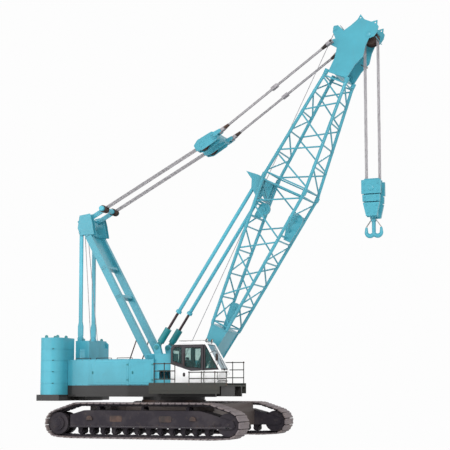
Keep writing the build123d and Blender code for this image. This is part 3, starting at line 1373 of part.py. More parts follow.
def hook():
    """A double hook: a nut on the trunnion, a shank, and two horns that end in tapered tips."""
    x, z = HEAD_X, HOOK_CENTRE
    shoulder = BLOCK_BOTTOM + 260 + SEAT
    pieces = [
        Pos(x, 0, (z + shoulder) / 2) * Cylinder(HOOK_NECK, shoulder - z),
        Pos(x, 0, shoulder + 35) * Cylinder(120, 70),
    ]
    for sign in (-1, 1):
        section = Plane(origin=(x, 0, z), x_dir=(1, 0, 0), z_dir=(0, 0, 1)) * RegularPolygon(HORN_THICKNESS, HORN_SIDES)
        middle = x + sign * HORN_RING
        pieces.append(revolve(section, axis=Axis((middle, 0, z), (0, -sign, 0)), revolution_arc=180))
        tip = Plane(origin=(x + sign * 2 * HORN_RING, 0, z), x_dir=(1, 0, 0), z_dir=(0, 0, 1))
        taper = degrees(atan2(HORN_THICKNESS - HORN_TIP_RADIUS, HORN_TIP_LENGTH))
        pieces.append(extrude(tip * RegularPolygon(HORN_THICKNESS, HORN_SIDES), amount=HORN_TIP_LENGTH, taper=taper))
    return joined(pieces)


# ================================================================ assembly
def build_all():
    """Every node by name."""
    nodes = {"carbody": carbody(), "slewing_ring": slewing_ring()}
    for name, sign in SIDES:
        y = sign * TRACK_Y
        nodes[f"track_frame_{name}"] = track_frame(y, sign)
        nodes[f"track_belt_{name}"] = crawler_belt(y)
        nodes[f"drive_wheel_{name}"] = drive_wheel(y, sign)
        nodes[f"idler_wheel_{name}"] = idler_wheel(y)
        nodes[f"track_rollers_{name}"] = track_rollers(y)
    nodes["revolving_frame"] = revolving_frame()
    nodes["upper_brackets"] = upper_brackets()
    nodes["rear_tower"] = rear_tower()
    nodes["winch_drums"] = winch_drums()
    nodes["counterweight_base"] = counterweight_base()
    for name, sign in SIDES:
        nodes[f"counterweight_stack_{name}"] = counterweight_stack(sign)
    for name, spec in HOUSES.items():
        nodes[f"engine_house_{name}"] = engine_house(spec)
        for number, seams in enumerate(spec["doors"], 1):
            nodes[f"house_door_{name}_{number}"] = house_door(spec, *seams)
    nodes["valve_cabinet"] = valve_cabinet()
    e = ENGINE
    nodes["engine"] = block(e["rear"], e["front"], -e["inner"], -e["outer"], DECK_HEIGHT, DECK_HEIGHT + e["height"])
    nodes["cab_shell"] = cab_shell()
    nodes["cab_glass"] = cab_glass()
    nodes["cab_door"] = cab_door()
    nodes["cab_door_glass"] = cab_door_glass()
    nodes["cab_seat"] = cab_seat()
    nodes["walkway_right"] = walkway_right()
    nodes["walkway_left"] = walkway_left()
    nodes["gantry_legs"] = gantry_legs()
    nodes["gantry_links"] = gantry_links()
    nodes["gantry_props"] = gantry_props() - nodes["gantry_legs"]
    nodes["gantry_spreader"] = spreader()
    nodes["stay_ropes"] = stay_ropes()
    nodes["bail"] = bail()
    nodes["pendants"] = pendants()
    nodes["backstop_cylinders"] = backstop_cylinders()
    nodes["backstop_tubes"] = backstop_tubes()
    nodes["boom_base"] = boom_base()
    nodes["boom_top"] = boom_top()
    nodes["boom_head"] = boom_head()
    nodes["head_sheaves"] = head_sheaves()
    nodes["hoist_falls"] = hoist_falls()
    nodes["hook_block"] = hook_block()
    nodes["hook"] = hook()
    return nodes


def middle_of(nodes):
    """X of the middle of the box round all nodes."""
    boxes = [shape.bounding_box() for shape in nodes.values()]
    return (min(box.min.X for box in boxes) + max(box.max.X for box in boxes)) / 2


def main():
    os.makedirs("parts", exist_ok=True)
    nodes = build_all()
    place = Location((-middle_of(nodes), 0, 0))
    for name, shape in nodes.items():
        export_step(shape.moved(place), f"parts/{name}.step")


if __name__ == "__main__":
    main()
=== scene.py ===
"""Looks for a crawler crane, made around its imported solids: finishes for every solid, and the running gear,
cab fittings, ropes, rope wheels, bolts, rails and lamps that the solids leave out."""

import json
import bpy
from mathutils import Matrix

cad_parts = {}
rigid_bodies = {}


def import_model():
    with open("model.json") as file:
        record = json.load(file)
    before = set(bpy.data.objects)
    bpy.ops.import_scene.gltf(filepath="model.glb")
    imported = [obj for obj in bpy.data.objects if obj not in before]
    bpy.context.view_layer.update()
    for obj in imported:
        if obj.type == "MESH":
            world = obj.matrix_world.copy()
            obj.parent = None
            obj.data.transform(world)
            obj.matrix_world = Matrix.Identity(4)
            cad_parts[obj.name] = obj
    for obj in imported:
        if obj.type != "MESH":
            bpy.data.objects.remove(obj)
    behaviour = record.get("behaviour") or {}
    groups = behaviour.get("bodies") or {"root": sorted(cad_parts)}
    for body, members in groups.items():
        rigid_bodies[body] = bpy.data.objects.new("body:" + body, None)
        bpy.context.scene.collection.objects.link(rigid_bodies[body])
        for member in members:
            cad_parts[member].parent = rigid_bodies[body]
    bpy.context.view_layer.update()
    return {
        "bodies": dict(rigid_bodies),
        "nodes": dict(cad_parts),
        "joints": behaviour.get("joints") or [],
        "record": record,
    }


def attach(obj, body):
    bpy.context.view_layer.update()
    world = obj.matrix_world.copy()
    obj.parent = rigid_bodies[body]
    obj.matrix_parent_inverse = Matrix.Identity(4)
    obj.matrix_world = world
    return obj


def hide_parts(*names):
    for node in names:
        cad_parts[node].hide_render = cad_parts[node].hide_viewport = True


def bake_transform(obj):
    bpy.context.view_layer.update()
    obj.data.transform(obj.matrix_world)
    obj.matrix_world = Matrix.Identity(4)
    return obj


bl_info = {
    "name": "Crawler crane dressing",
    "version": (1, 0, 0),
    "blender": (4, 5, 0),
    "location": "3D View > Sidebar > Crane",
    "description": "Finishes and fittings for a lattice-boom crawler crane",
    "category": "Object",
}

from math import atan2, cos, degrees, hypot, pi, radians, sin

import bmesh
import bpy
import numpy as np
from bpy.props import FloatProperty, FloatVectorProperty, PointerProperty
from mathutils import Vector

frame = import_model()
JOINTS = {joint["name"]: joint for joint in frame["record"]["behaviour"]["joints"]}
SWING_X = JOINTS["swing"]["pos_m"][0]


# ---------------------------------------------------------------- places
def crane(x, y, z):
    """Points in metres ahead of the swing axis, to the left of it and above the ground."""
    x, y, z = np.broadcast_arrays(x, y, z)
    return np.stack([x + SWING_X, y, z], axis=-1).astype(float)


class Line:
    """A frame with u along a line in the X-Z plane, v in front of it or under it, and y to the left."""

    def __init__(self, x, z, angle):
        self.x, self.z, self.turn = x, z, radians(angle)

    def at(self, u, v, y):
        """The point (x + u cos a + v sin a, y, z + u sin a - v cos a)."""
        u, v, y = np.broadcast_arrays(u, v, y)
        c, s = cos(self.turn), sin(self.turn)
        return crane(self.x + u * c + v * s, y, self.z + u * s - v * c)

    @property
    def along(self):
        """The direction of u."""
        return np.array([cos(self.turn), 0, sin(self.turn)])

    @property
    def front(self):
        """The direction of v."""
        return np.array([sin(self.turn), 0, -cos(self.turn)])


def joint_place(name):
    """X ahead of the swing axis and Z of a joint."""
    x, _, z = JOINTS[name]["pos_m"]
    return x - SWING_X, z


LEFT = np.array([0.0, 1.0, 0.0])
UP = np.array([0.0, 0.0, 1.0])
AHEAD = np.array([1.0, 0.0, 0.0])
SIDES = (("left", 1), ("right", -1))
# where a turned profile closes on its axis, in metres
POLE = 0.001

BOOM = Line(*joint_place("boom_luff"), 63.4)
GANTRY = Line(-0.683, 2.9, 118.8)
STAY = Line(*joint_place("spreader_turn"), 28.0)
BAIL_PIN = joint_place("pendant_turn")
HEAD = joint_place("falls_turn")


# ---------------------------------------------------------------- surfaces
class Surface:
    """Points and the faces between them, before they become a mesh."""

    def __init__(self, points, faces):
        self.points = np.asarray(points, float).reshape(-1, 3)
        self.faces = [block for block in faces if len(block)]


def merged(parts):
    """Several surfaces as one."""
    points, faces, shift = [], [], 0
    for part in parts:
        points.append(part.points)
        faces += [block + shift for block in part.faces]
        shift += len(part.points)
    return Surface(np.vstack(points), faces)


def mirrored(surface):
    """The same surface on the crane's other side."""
    return Surface(surface.points * (1, -1, 1), surface.faces)


def both_sides(surface):
    """A surface with its mirror image."""
    return merged([surface, mirrored(surface)])


def grid(points, wrap_rows=False, wrap_columns=True, caps=True):
    """A grid of points with a quad between each four neighbours. Wrapped columns make a tube, with its two
    open ends filled by caps, and wrapped rows too make a ring."""
    rows, columns = points.shape[:2]
    i = np.arange(rows if wrap_rows else rows - 1)[:, None]
    j = np.arange(columns if wrap_columns else columns - 1)[None, :]
    i, j = np.broadcast_arrays(i, j)
    i2, j2 = (i + 1) % rows, (j + 1) % columns
    quads = np.stack([i * columns + j, i * columns + j2, i2 * columns + j2, i2 * columns + j], -1)
    faces = [quads.reshape(-1, 4)]
    if caps and wrap_columns and not wrap_rows:
        first = np.arange(columns)
        faces += [first[::-1][None, :], (first + (rows - 1) * columns)[None, :]]
    return Surface(points, faces)


def circle(count):
    """Angles evenly round a circle."""
    return np.arange(count) / count * 2 * pi


def unit(vectors):
    """Vectors divided by their lengths."""
    return vectors / np.maximum(np.linalg.norm(vectors, axis=-1, keepdims=True), 1e-12)


def square_to(direction):
    """Two directions square to the given one and to each other."""
    direction = unit(np.asarray(direction, float))
    helper = np.eye(3)[np.argmin(np.abs(direction))]
    first = unit(np.cross(helper, direction))
    return first, np.cross(direction, first)


def tube(path, radius, sides=8, closed=False):
    """Circles round each point of a path, square to it: path + r (a cos t + b sin t)."""
    path = np.asarray(path, float)
    radius = np.broadcast_to(np.asarray(radius, float).reshape(-1, 1) if np.ndim(radius) < 2 else radius,
                             (len(path), sides))
    if closed:
        heading = unit(np.roll(path, -1, 0) - np.roll(path, 1, 0))
    else:
        heading = unit(np.gradient(path, axis=0))
    helper = np.eye(3)[np.argmin(np.abs(heading).max(0))]
    first = unit(np.cross(helper, heading))
    second = np.cross(heading, first)
    turn = circle(sides)
    spokes = first[:, None] * np.cos(turn)[:, None] + second[:, None] * np.sin(turn)[:, None]
    return grid(path[:, None] + spokes * radius[..., None], wrap_rows=closed)


def lathe(origin, axis, profile, sides=32, ring=False):
    """(Distance along the axis, radius) pairs turned about the axis; a ring's profile closes."""
    profile = np.asarray(profile, float)
    axis = unit(np.asarray(axis, float))
    first, second = square_to(axis)
    turn = circle(sides)
    spokes = first * np.cos(turn)[:, None] + second * np.sin(turn)[:, None]
    points = np.asarray(origin) + axis * profile[:, :1, None] + spokes * profile[:, 1:, None]
    return grid(points.reshape(len(profile), sides, 3), wrap_rows=ring)


def rope(start, end, radius, lay=0.19, strands=6):
    """A laid rope: a tube whose radius dips between strands that wind round it once in each lay length."""
    start, end = np.asarray(start, float), np.asarray(end, float)
    length = np.linalg.norm(end - start)
    rows = max(4, int(length / lay * 5))
    share = np.linspace(0, 1, rows)
    sides = strands * 2
    turn = circle(sides)
    wind = turn[None, :] - share[:, None] * length / lay * 2 * pi
    lobes = radius * (0.86 + 0.14 * np.abs(np.cos(strands / 2 * wind)))
    return tube(start + (end - start) * share[:, None], lobes, sides)


def round_outline(half_u, half_v, power=5.0, count=24):
    """A box outline with soft corners: |u/a|^p + |v/b|^p = 1."""
    turn = circle(count) + pi / count
    c, s = np.cos(turn), np.sin(turn)
    u, v = (half * np.sign(way) * np.abs(way) ** (2 / power) for half, way in ((half_u, c), (half_v, s)))
    return np.stack([u, v], -1)


def soft_block(centre, half, axes=(AHEAD, LEFT, UP), edge=0.12, power=6.0, count=20):
    """A block with soft corners: the outline on the first two axes, drawn in at both ends of the third."""
    a, b, c = (np.asarray(axis, float) for axis in axes)
    outline = round_outline(half[0], half[1], power, count)
    small = edge * min(half)
    levels = np.array([(-half[2], small), (-half[2] + small, 0), (half[2] - small, 0), (half[2], small)])
    shrink = 1 - levels[:, 1:, None] / np.array([half[0], half[1]])
    flat = outline[None] * shrink
    points = np.asarray(centre) + flat[..., :1] * a + flat[..., 1:] * b + levels[:, 0, None, None] * c
    return grid(points)


def disc(place, axis, radius, low, high, crown, sides):
    """A round cap from low to high along its axis, with a slight crown."""
    return lathe(place, axis, [(low, POLE), (low, radius), (high, radius), (crown, POLE)], sides)


def half_round(x, z, radius, foot):
    """The outline of a lug: a half circle about (x, z) on two legs down to its foot."""
    turn = np.linspace(0, pi, 13)
    arc = np.stack([x + radius * np.cos(turn), z + radius * np.sin(turn)], -1)
    return np.concatenate([[(x + radius, foot)], arc, [(x - radius, foot)]])


def crane_side(x, z, y):
    """A side outline's points, carried across the crane."""
    return crane(x, y, z)


def crane_end(y, z, x):
    """An end outline's points, carried along the crane."""
    return crane(x, y, z)


def plate(place, outline, low, high):
    """An outline of (u, v) points carried from low to high by a function of u, v and y."""
    outline = np.asarray(outline, float)
    levels = np.array([low, high])[:, None]
    return grid(place(outline[:, 0], outline[:, 1], levels))


def repeated(template, places, axes):
    """Copies of a small surface, given in three local axes, at many places."""
    places = np.atleast_2d(places)
    axes = np.broadcast_to(np.asarray(axes, float), (len(places), 3, 3))
    points = places[:, None] + np.einsum("vk,pkc->pvc", template.points, axes)
    shift = np.arange(len(places))[:, None, None] * len(template.points)
    faces = [(block[None] + shift).reshape(-1, block.shape[1]) for block in template.faces]
    return Surface(points.reshape(-1, 3), faces)


def bolt_heads(places, normal, radius=0.02, height=0.014):
    """Six-sided heads with a small chamfer, standing on the places along one normal."""
    normal = unit(np.asarray(normal, float))
    first, second = square_to(normal)
    turn = circle(6)
    levels = np.array([(-0.004, 1.0), (height * 0.8, 1.0), (height, 0.8)])
    ring = np.stack([np.cos(turn), np.sin(turn)], -1) * radius
    points = np.concatenate([ring[None] * levels[:, 1:, None],
                             np.broadcast_to(levels[:, :1, None], (3, 6, 1))], -1)
    return repeated(grid(points), places, np.stack([first, second, normal]))


def bolt_circle(centre, axis, radius, count, size=0.02, height=0.014):
    """Bolt heads evenly round a circle."""
    first, second = square_to(axis)
    turn = circle(count)[:, None]
    return bolt_heads(np.asarray(centre) + radius * (first * np.cos(turn) + second * np.sin(turn)), axis,
                      size, height)


def rope_wheel(centre, axis, radius, half, bore=0.05, sides=40, groove=0.028):
    """A grooved wheel: rims, a round groove between them, a thin web and a hub."""
    round_groove = [(half * cos(t), radius - groove * sin(t)) for t in np.linspace(0.25, pi - 0.25, 7)]
    right = [(half, radius * 0.84), (half * 0.35, radius * 0.8), (half * 0.35, bore * 2.1),
             (half, bore * 1.9)]
    left = [(-d, r) for d, r in reversed(right)]
    profile = [*round_groove[::-1], (half, radius), *right, (half, bore), (-half, bore), *left,
               (-half, radius)]
    return lathe(centre, axis, profile, sides, ring=True)


def piece(name, surface, body, finish, sharp=35, bevel=0.0):
    """Turns a surface into an object with its finish, which moves with a body if one is named."""
    faces = [face for block in surface.faces for face in block.tolist()]
    mesh = bpy.data.meshes.new(name)
    mesh.from_pydata(surface.points.tolist(), [], faces)
    work = bmesh.new()
    work.from_mesh(mesh)
    bmesh.ops.recalc_face_normals(work, faces=work.faces)
    work.to_mesh(mesh)
    work.free()
    mesh.shade_smooth()
    mesh.set_sharp_from_angle(angle=radians(sharp))
    mesh.materials.append(FINISHES[finish])
    made = bpy.data.objects.new(name, mesh)
    bpy.context.scene.collection.objects.link(made)
    if bevel:
        rounded = made.modifiers.new("edge", "BEVEL")
        rounded.width, rounded.segments, rounded.limit_method = bevel, 2, "ANGLE"
    if body:
        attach(made, body)
    return made


# ---------------------------------------------------------------- finishes
class Signal:
    """A shader socket that takes part in arithmetic; each operation adds its Math node."""

    def __init__(self, nodes, socket):
        self.nodes, self.socket = nodes, socket

    def _with(self, operation, first, second):
        """One Math node over two signals or numbers."""
        return self.nodes.add("ShaderNodeMath", {"operation": operation}, {0: first, 1: second})

    def __add__(self, other):
        return self._with("ADD", self, other)

    def __sub__(self, other):
        return self._with("SUBTRACT", self, other)

    def __rsub__(self, other):
        return self._with("SUBTRACT", other, self)

    def __mul__(self, other):
        return self._with("MULTIPLY", self, other)

    __radd__, __rmul__ = __add__, __mul__

    def larger(self, other):
        """The larger of the two."""
        return self._with("MAXIMUM", self, other)

    def rising(self, low, high):
        """0 below low, 1 above high and a smooth rise between them."""
        sockets = {"Value": self, "From Min": low, "From Max": high}
        return self.nodes.add("ShaderNodeMapRange", {"interpolation_type": "SMOOTHSTEP"}, sockets)


class Nodes:
    """An emptied node tree, and the calls that fill it."""

    def __init__(self, tree):
        self.tree = tree
        tree.nodes.clear()

    def add(self, kind, settings=None, sockets=None, output=0):
        """Adds a node, sets it up, fills or links its sockets and returns one of its outputs."""
        node = self.tree.nodes.new(kind)
        for name, value in (settings or {}).items():
            setattr(node, name, value)
        for name, value in (sockets or {}).items():
            if isinstance(value, Signal):
                self.tree.links.new(value.socket, node.inputs[name])
            else:
                node.inputs[name].default_value = value
        return Signal(self, node.outputs[output])

    def add_output(self, shader, kind="ShaderNodeOutputMaterial"):
        """Ends the tree with a shader."""
        node = self.tree.nodes.new(kind)
        self.tree.links.new(shader.socket, node.inputs["Surface"])

    def plain_rays(self):
        """1 for rays from the camera and for those seen in metal or through glass, and 0 for light."""
        kinds = ("Camera", "Glossy", "Transmission")
        rays = [self.add("ShaderNodeLightPath", output=f"Is {kind} Ray") for kind in kinds]
        return rays[0].larger(rays[1]).larger(rays[2])


class Finish(Nodes):
    """One material and the nodes that make it."""

    def __init__(self, name):
        self.material = bpy.data.materials.new(name)
        self.material.use_nodes = True
        super().__init__(self.material.node_tree)
        self.place = self.add("ShaderNodeTexCoord", output="Object")

    def stretched(self, x, y, z):
        """Object coordinates scaled on each axis."""
        return self.add("ShaderNodeVectorMath", {"operation": "MULTIPLY"}, {0: self.place, 1: (x, y, z)})

    def noise(self, scale, detail=3.0, vector=None):
        """Fractal noise in object coordinates."""
        return self.add("ShaderNodeTexNoise", None,
                        {"Vector": vector or self.place, "Scale": scale, "Detail": detail, "Roughness": 0.6})

    def axis(self, name):
        """One object coordinate."""
        return self.add("ShaderNodeSeparateXYZ", None, {0: self.place}, output=name)

    def mix(self, factor, first, second):
        """One colour turning into another."""
        return self.add("ShaderNodeMix", {"data_type": "RGBA"}, {0: factor, 6: first, 7: second}, output=2)

    def bump(self, height, strength, distance=0.004):
        """A height turned into a normal."""
        return self.add("ShaderNodeBump", None,
                        {"Height": height, "Strength": strength, "Distance": distance})

    def surface(self, **sockets):
        """The Principled surface, with underscores in the names of its sockets read as spaces."""
        named = {name.replace("_", " "): value for name, value in sockets.items()}
        self.add_output(self.add("ShaderNodeBsdfPrincipled", None, named))
        return self.material


def shade(red, green, blue):
    """A colour written as it looks on screen, 0 to 255, as the linear values that shaders use."""
    values = np.array([red, green, blue]) / 255
    linear = np.where(values <= 0.04045, values / 12.92, ((values + 0.055) / 1.055) ** 2.4)
    return (*linear.tolist(), 1.0)


def tinted(colour, gain):
    """A colour made lighter or darker."""
    return (*(min(1.0, value * gain) for value in colour[:3]), 1.0)


def painted(name, colour, grime, rough=0.42, dirt=0.5, chips=0.4, dust=0.0):
    """Sprayed enamel: slow changes of tone, rain streaks, dust low down, and chips to dark metal."""
    f = Finish(name)
    slow = f.noise(0.55, 4.0).rising(0.3, 0.7)
    fine = f.noise(17.0, 5.0)
    streaks = f.noise(1.0, 4.0, f.stretched(4.5, 4.5, 0.45)).rising(0.5, 0.78)
    stains = f.noise(2.6, 6.0).rising(0.52, 0.8)
    tone = f.mix(slow, tinted(colour, 1.06), tinted(colour, 0.86))
    soil = (streaks * (dirt * 0.55)).larger(stains * (dirt * 0.4))
    if dust:
        soil = soil.larger((1 - f.axis("Z").rising(0.2, 3.2)) * dust)
    tone = f.mix(soil, tone, grime)
    chipped = f.noise(31.0, 4.0).rising(0.71, 0.74) * f.noise(1.9, 2.0).rising(0.5, 0.62) * chips
    tone = f.mix(chipped, tone, shade(58, 44, 38))
    shine = rough + soil * 0.3 + fine * 0.12 + chipped * 0.3
    return f.surface(Base_Color=tone, Roughness=shine, Metallic=0.0, Coat_Weight=(1 - soil) * 0.15,
                     Normal=f.bump(fine + chipped * -2.0, 0.07))


def bare_iron(name, colour, rust, rough=0.62, metal=0.35):
    """Worked iron: dark scale, rust that gathers in patches, and a rubbed grain."""
    f = Finish(name)
    patches = f.noise(1.7, 6.0).rising(0.42, 0.68)
    grain = f.noise(42.0, 5.0)
    mud = f.noise(5.5, 7.0).rising(0.55, 0.75)
    tone = f.mix(patches * 0.55, tinted(colour, 1.15), rust)
    tone = f.mix(mud * 0.35, tone, shade(104, 94, 86))
    shine = rough + grain * 0.2 + mud * 0.15
    return f.surface(Base_Color=tone, Roughness=shine, Metallic=(1 - patches) * metal,
                     Normal=f.bump(grain + mud, 0.22, 0.006))


def rope_wire(name, colour):
    """Greased wire rope: grey strands with darker lubricant in patches."""
    f = Finish(name)
    grease = f.noise(7.0, 5.0).rising(0.4, 0.7)
    wires = f.noise(90.0, 2.0, f.stretched(1.0, 1.0, 0.4))
    tone = f.mix(grease, tinted(colour, 1.1), tinted(colour, 0.72))
    return f.surface(Base_Color=tone, Roughness=0.5 + grease * 0.2, Metallic=0.15,
                     Normal=f.bump(wires, 0.2, 0.002))


def rubbed_rubber(name, colour):
    """Rubber with a fine grain and a pale bloom."""
    f = Finish(name)
    grain = f.noise(55.0, 4.0)
    bloom = f.noise(3.0, 4.0).rising(0.45, 0.7)
    tone = f.mix(bloom * 0.4, colour, tinted(colour, 2.2))
    return f.surface(Base_Color=tone, Roughness=0.72 + bloom * 0.1, Normal=f.bump(grain, 0.12, 0.002))


def pane(name, colour, clear=0.45):
    """Tinted glass with a little dust: a mix of gloss and plain see-through. The windscreen's tint is a
    painted reflection.
    """
    f = Finish(name)
    dust = f.noise(4.0, 6.0).rising(0.4, 0.85)
    glass = f.add("ShaderNodeBsdfPrincipled", None,
                  {"Base Color": f.mix(dust * 0.3, colour, shade(150, 158, 156)),
                   "Roughness": 0.06 + dust * 0.12,
                   "Coat Weight": 0.4, "Specular IOR Level": 0.7})
    through = f.add("ShaderNodeBsdfTransparent", None, {"Color": (0.88, 0.96, 0.94, 1.0)})
    both = f.add("ShaderNodeMixShader", None, {0: clear - dust * 0.12, 1: glass, 2: through})
    f.add_output(both)
    f.material.surface_render_method = "BLENDED"
    return f.material


def woven(name, colour):
    """Seat cloth: a fine crossed weave over slow wear."""
    f = Finish(name)
    threads = {"Vector": f.place, "Scale": 120.0, "Distortion": 1.0}
    warp, weft = (f.add("ShaderNodeTexWave", {"bands_direction": way}, threads, output="Fac") for way in "XZ")
    weave = warp.larger(weft)
    worn = f.noise(6.0, 4.0).rising(0.4, 0.7)
    tone = f.mix(worn * 0.5, colour, tinted(colour, 1.9))
    return f.surface(Base_Color=tone, Roughness=0.85 - worn * 0.1, Normal=f.bump(weave, 0.3, 0.002))


def tread_plate(name, colour, grime):
    """Walkway plate: raised lozenges in two directions, worn to bare metal on top."""
    f = Finish(name)
    ribs = []
    for a, b in ((1, 1), (1, -1)):
        slanted = f.add("ShaderNodeVectorMath", {"operation": "DOT_PRODUCT"}, {0: f.place, 1: (a, b, 0)},
                        output="Value")
        ribs.append(f.add("ShaderNodeMath", {"operation": "SINE"}, {0: slanted * 95.0}))
    lozenge = (ribs[0] * ribs[1]).rising(0.35, 0.7)
    worn = f.noise(1.4, 5.0).rising(0.45, 0.7)
    soil = f.noise(3.2, 6.0).rising(0.45, 0.75)
    tone = f.mix(soil * 0.6, colour, grime)
    tone = f.mix(lozenge * worn * 0.5, tone, shade(150, 148, 142))
    return f.surface(Base_Color=tone, Roughness=0.6 + soil * 0.2, Metallic=lozenge * worn * 0.5,
                     Normal=f.bump(lozenge, 0.5, 0.004))


CAB_BAND = ((0.666, 2.913), (1.549, 2.639), (2.741, 2.691))
CAB_BAND_TOP = 3.69


def cab_coat(name, white, black, grime):
    """White enamel with a black window band: the band lies above two straight edges and under the roof."""
    f = Finish(name)
    x, z = f.axis("X") - SWING_X, f.axis("Z")
    edges = []
    for (x0, z0), (x1, z1) in zip(CAB_BAND, CAB_BAND[1:]):
        slope = (z1 - z0) / (x1 - x0)
        edges.append((x - x0) * slope + z0)
    band = (z - edges[0].larger(edges[1])).rising(-0.004, 0.004)
    band = band * (z * -1.0 + CAB_BAND_TOP).rising(-0.004, 0.004)
    soil = f.noise(1.0, 5.0, f.stretched(5.0, 5.0, 0.5)).rising(0.5, 0.8) * 0.2
    fine = f.noise(20.0, 4.0)
    tone = f.mix(soil, white, grime)
    tone = f.mix(band, tone, black)
    return f.surface(Base_Color=tone, Roughness=0.3 + soil * 0.4 + fine * 0.05, Coat_Weight=0.3,
                     Normal=f.bump(fine, 0.03))


def cylinder_coat(name, colour, rod):
    """Enamel on a cylinder and dark plated steel on its rod, parted by the distance along its line."""
    f = Finish(name)
    place, slide = JOINTS["backstop_turn"]["pos_m"], JOINTS["backstop_travel"]["axis"]
    along = (f.axis("X") - place[0]) * slide[0] + (f.axis("Z") - place[2]) * slide[2]
    bare = along.rising(0.9, 0.903)
    slow = f.noise(2.5, 4.0).rising(0.3, 0.7)
    tone = f.mix(bare, f.mix(slow, tinted(colour, 1.08), tinted(colour, 0.85)), rod)
    return f.surface(Base_Color=tone, Roughness=0.4 + slow * 0.1 - bare * 0.14, Metallic=bare * 0.5)


def lamp_glow(name, colour):
    """A lamp's face: ribbed clear glass over a bright bowl."""
    f = Finish(name)
    ribs = f.add("ShaderNodeTexWave", None, {"Vector": f.place, "Scale": 30.0}, output="Fac")
    tone = f.mix(ribs * 0.4, colour, tinted(colour, 0.6))
    return f.surface(Base_Color=tone, Roughness=0.12, Metallic=0.3, Coat_Weight=0.8,
                     Normal=f.bump(ribs, 0.3, 0.003))


TEAL = shade(73, 172, 192)
TEAL_GRIME = shade(84, 122, 128)
FINISHES = {}


def make_finishes(settings):
    """Every finish of the crane, by a plain name."""
    teal = tuple(settings.paint) + (1.0,)
    rust = shade(96, 62, 44)
    FINISHES.update(
        teal=painted("teal enamel", teal, TEAL_GRIME, dirt=settings.dirt),
        teal_boom=painted("teal boom enamel", tinted(teal, 0.79), TEAL_GRIME, rough=0.36,
                          dirt=settings.dirt * 0.6),
        teal_dark=painted("deep teal enamel", shade(20, 128, 134), shade(20, 74, 80), rough=0.38),
        cylinder=cylinder_coat("cylinder enamel", shade(20, 128, 134), shade(58, 44, 48)),
        weights=painted("counterweight enamel", tinted(teal, 0.95), TEAL_GRIME, rough=0.5, dirt=0.25),
        skirt=painted("frame grey enamel", shade(38, 36, 36), shade(56, 51, 48), rough=0.55, dust=0.15),
        carbody=painted("car body enamel", shade(78, 68, 68), shade(96, 86, 78), rough=0.6, dust=0.4,
                        chips=0.5),
        olive=painted("walkway fascia enamel", shade(50, 51, 46), shade(64, 61, 54), rough=0.55),
        walkway=tread_plate("walkway plate", shade(52, 53, 48), shade(72, 68, 61)),
        crawler=bare_iron("crawler iron", shade(38, 33, 41), shade(50, 42, 46)),
        shoes=bare_iron("shoe iron", shade(116, 107, 109), shade(124, 110, 104), rough=0.58, metal=0.3),
        dark_steel=bare_iron("dark steel", shade(52, 46, 46), rust, rough=0.45, metal=0.5),
        bright_steel=bare_iron("ground steel", shade(158, 158, 156), shade(120, 108, 98), rough=0.28,
                               metal=0.8),
        rope=rope_wire("wire rope", shade(152, 148, 152)),
        rubber=rubbed_rubber("rubber seal", shade(24, 24, 26)),
        cab=cab_coat("cab enamel", shade(252, 252, 252), shade(34, 28, 36), shade(214, 212, 206)),
        white=painted("white enamel", shade(252, 252, 252), shade(214, 212, 206), rough=0.3, dirt=0.2,
                      chips=0.05),
        glass=pane("tinted pane", shade(40, 92, 92), 0.84),
        # the windscreen's pale blue base colour is a painted reflection, and only 0.3 of that pane is
        # see-through
        screen=pane("screen pane", shade(150, 172, 184), 0.3),
        seat=woven("seat cloth", shade(40, 40, 44)),
        engine=bare_iron("engine casting", shade(88, 88, 86), shade(96, 80, 66), metal=0.3),
        lamp=lamp_glow("lamp face", shade(235, 236, 228)),
        hose=rubbed_rubber("hose rubber", shade(34, 34, 36)),
    )


NODE_FINISH = {node: finish for finish, nodes in {
    "teal": "upper_brackets rear_tower valve_cabinet gantry_links gantry_spreader backstop_tubes",
    "teal_boom": "gantry_legs bail boom_base boom_top boom_head hook_block hook",
    "carbody": "carbody",
    "skirt": "revolving_frame counterweight_base",
    "weights": "counterweight_stack_left counterweight_stack_right",
    "dark_steel": "slewing_ring winch_drums gantry_props head_sheaves",
    "engine": "engine",
    "cab": "cab_shell cab_door",
    "glass": "cab_glass cab_door_glass",
    "seat": "cab_seat",
    "walkway": "walkway_left walkway_right",
    "rope": "stay_ropes pendants hoist_falls",
    "cylinder": "backstop_cylinders",
}.items() for node in nodes.split()}
NODE_STARTS = {"track_belt": "shoes", "track_": "crawler", "drive_": "crawler", "idler_": "crawler",
               "engine_house": "teal", "house_door": "teal"}


def finish_of(node):
    """The finish of a solid, by its name or by how its name starts."""
    if node in NODE_FINISH:
        return FINISHES[NODE_FINISH[node]]
    return FINISHES[next(finish for start, finish in NODE_STARTS.items() if node.startswith(start))]


# ---------------------------------------------------------------- small shapes
def box_at(x0, x1, y0, y1, z0, z1):
    """A plain block between two corners, in the crane's own metres."""
    return plate(crane_side, [(x0, z0), (x1, z0), (x1, z1), (x0, z1)], y0, y1)


def straight(start, end, radius, sides=10):
    """A round bar between two points."""
    return tube(np.array([start, end]), radius, sides)


def bent(points, radius, sides=8, steps=6, closed=False):
    """A pipe whose middle line passes each point on a Catmull-Rom curve: on each stretch the four nearest
    points are weighed by cubics of the share along it."""
    points = np.asarray(points, float)
    if closed:
        near = np.stack([np.roll(points, shift, 0) for shift in (1, 0, -1, -2)])
    else:
        ends = np.concatenate([2 * points[:1] - points[1:2], points, 2 * points[-1:] - points[-2:-1]])
        near = np.stack([ends[:-3], ends[1:-2], ends[2:-1], ends[3:]])
    t = (np.arange(steps) / steps)[None, :, None]
    a, b, c, d = near[:, :, None]
    square, cube = 2 * a - 5 * b + 4 * c - d, 3 * b - a - 3 * c + d
    path = 0.5 * (2 * b + (c - a) * t + square * t ** 2 + cube * t ** 3)
    path = path.reshape(-1, 3)
    if not closed:
        path = np.concatenate([path, points[-1:]])
    return tube(path, radius, sides, closed)


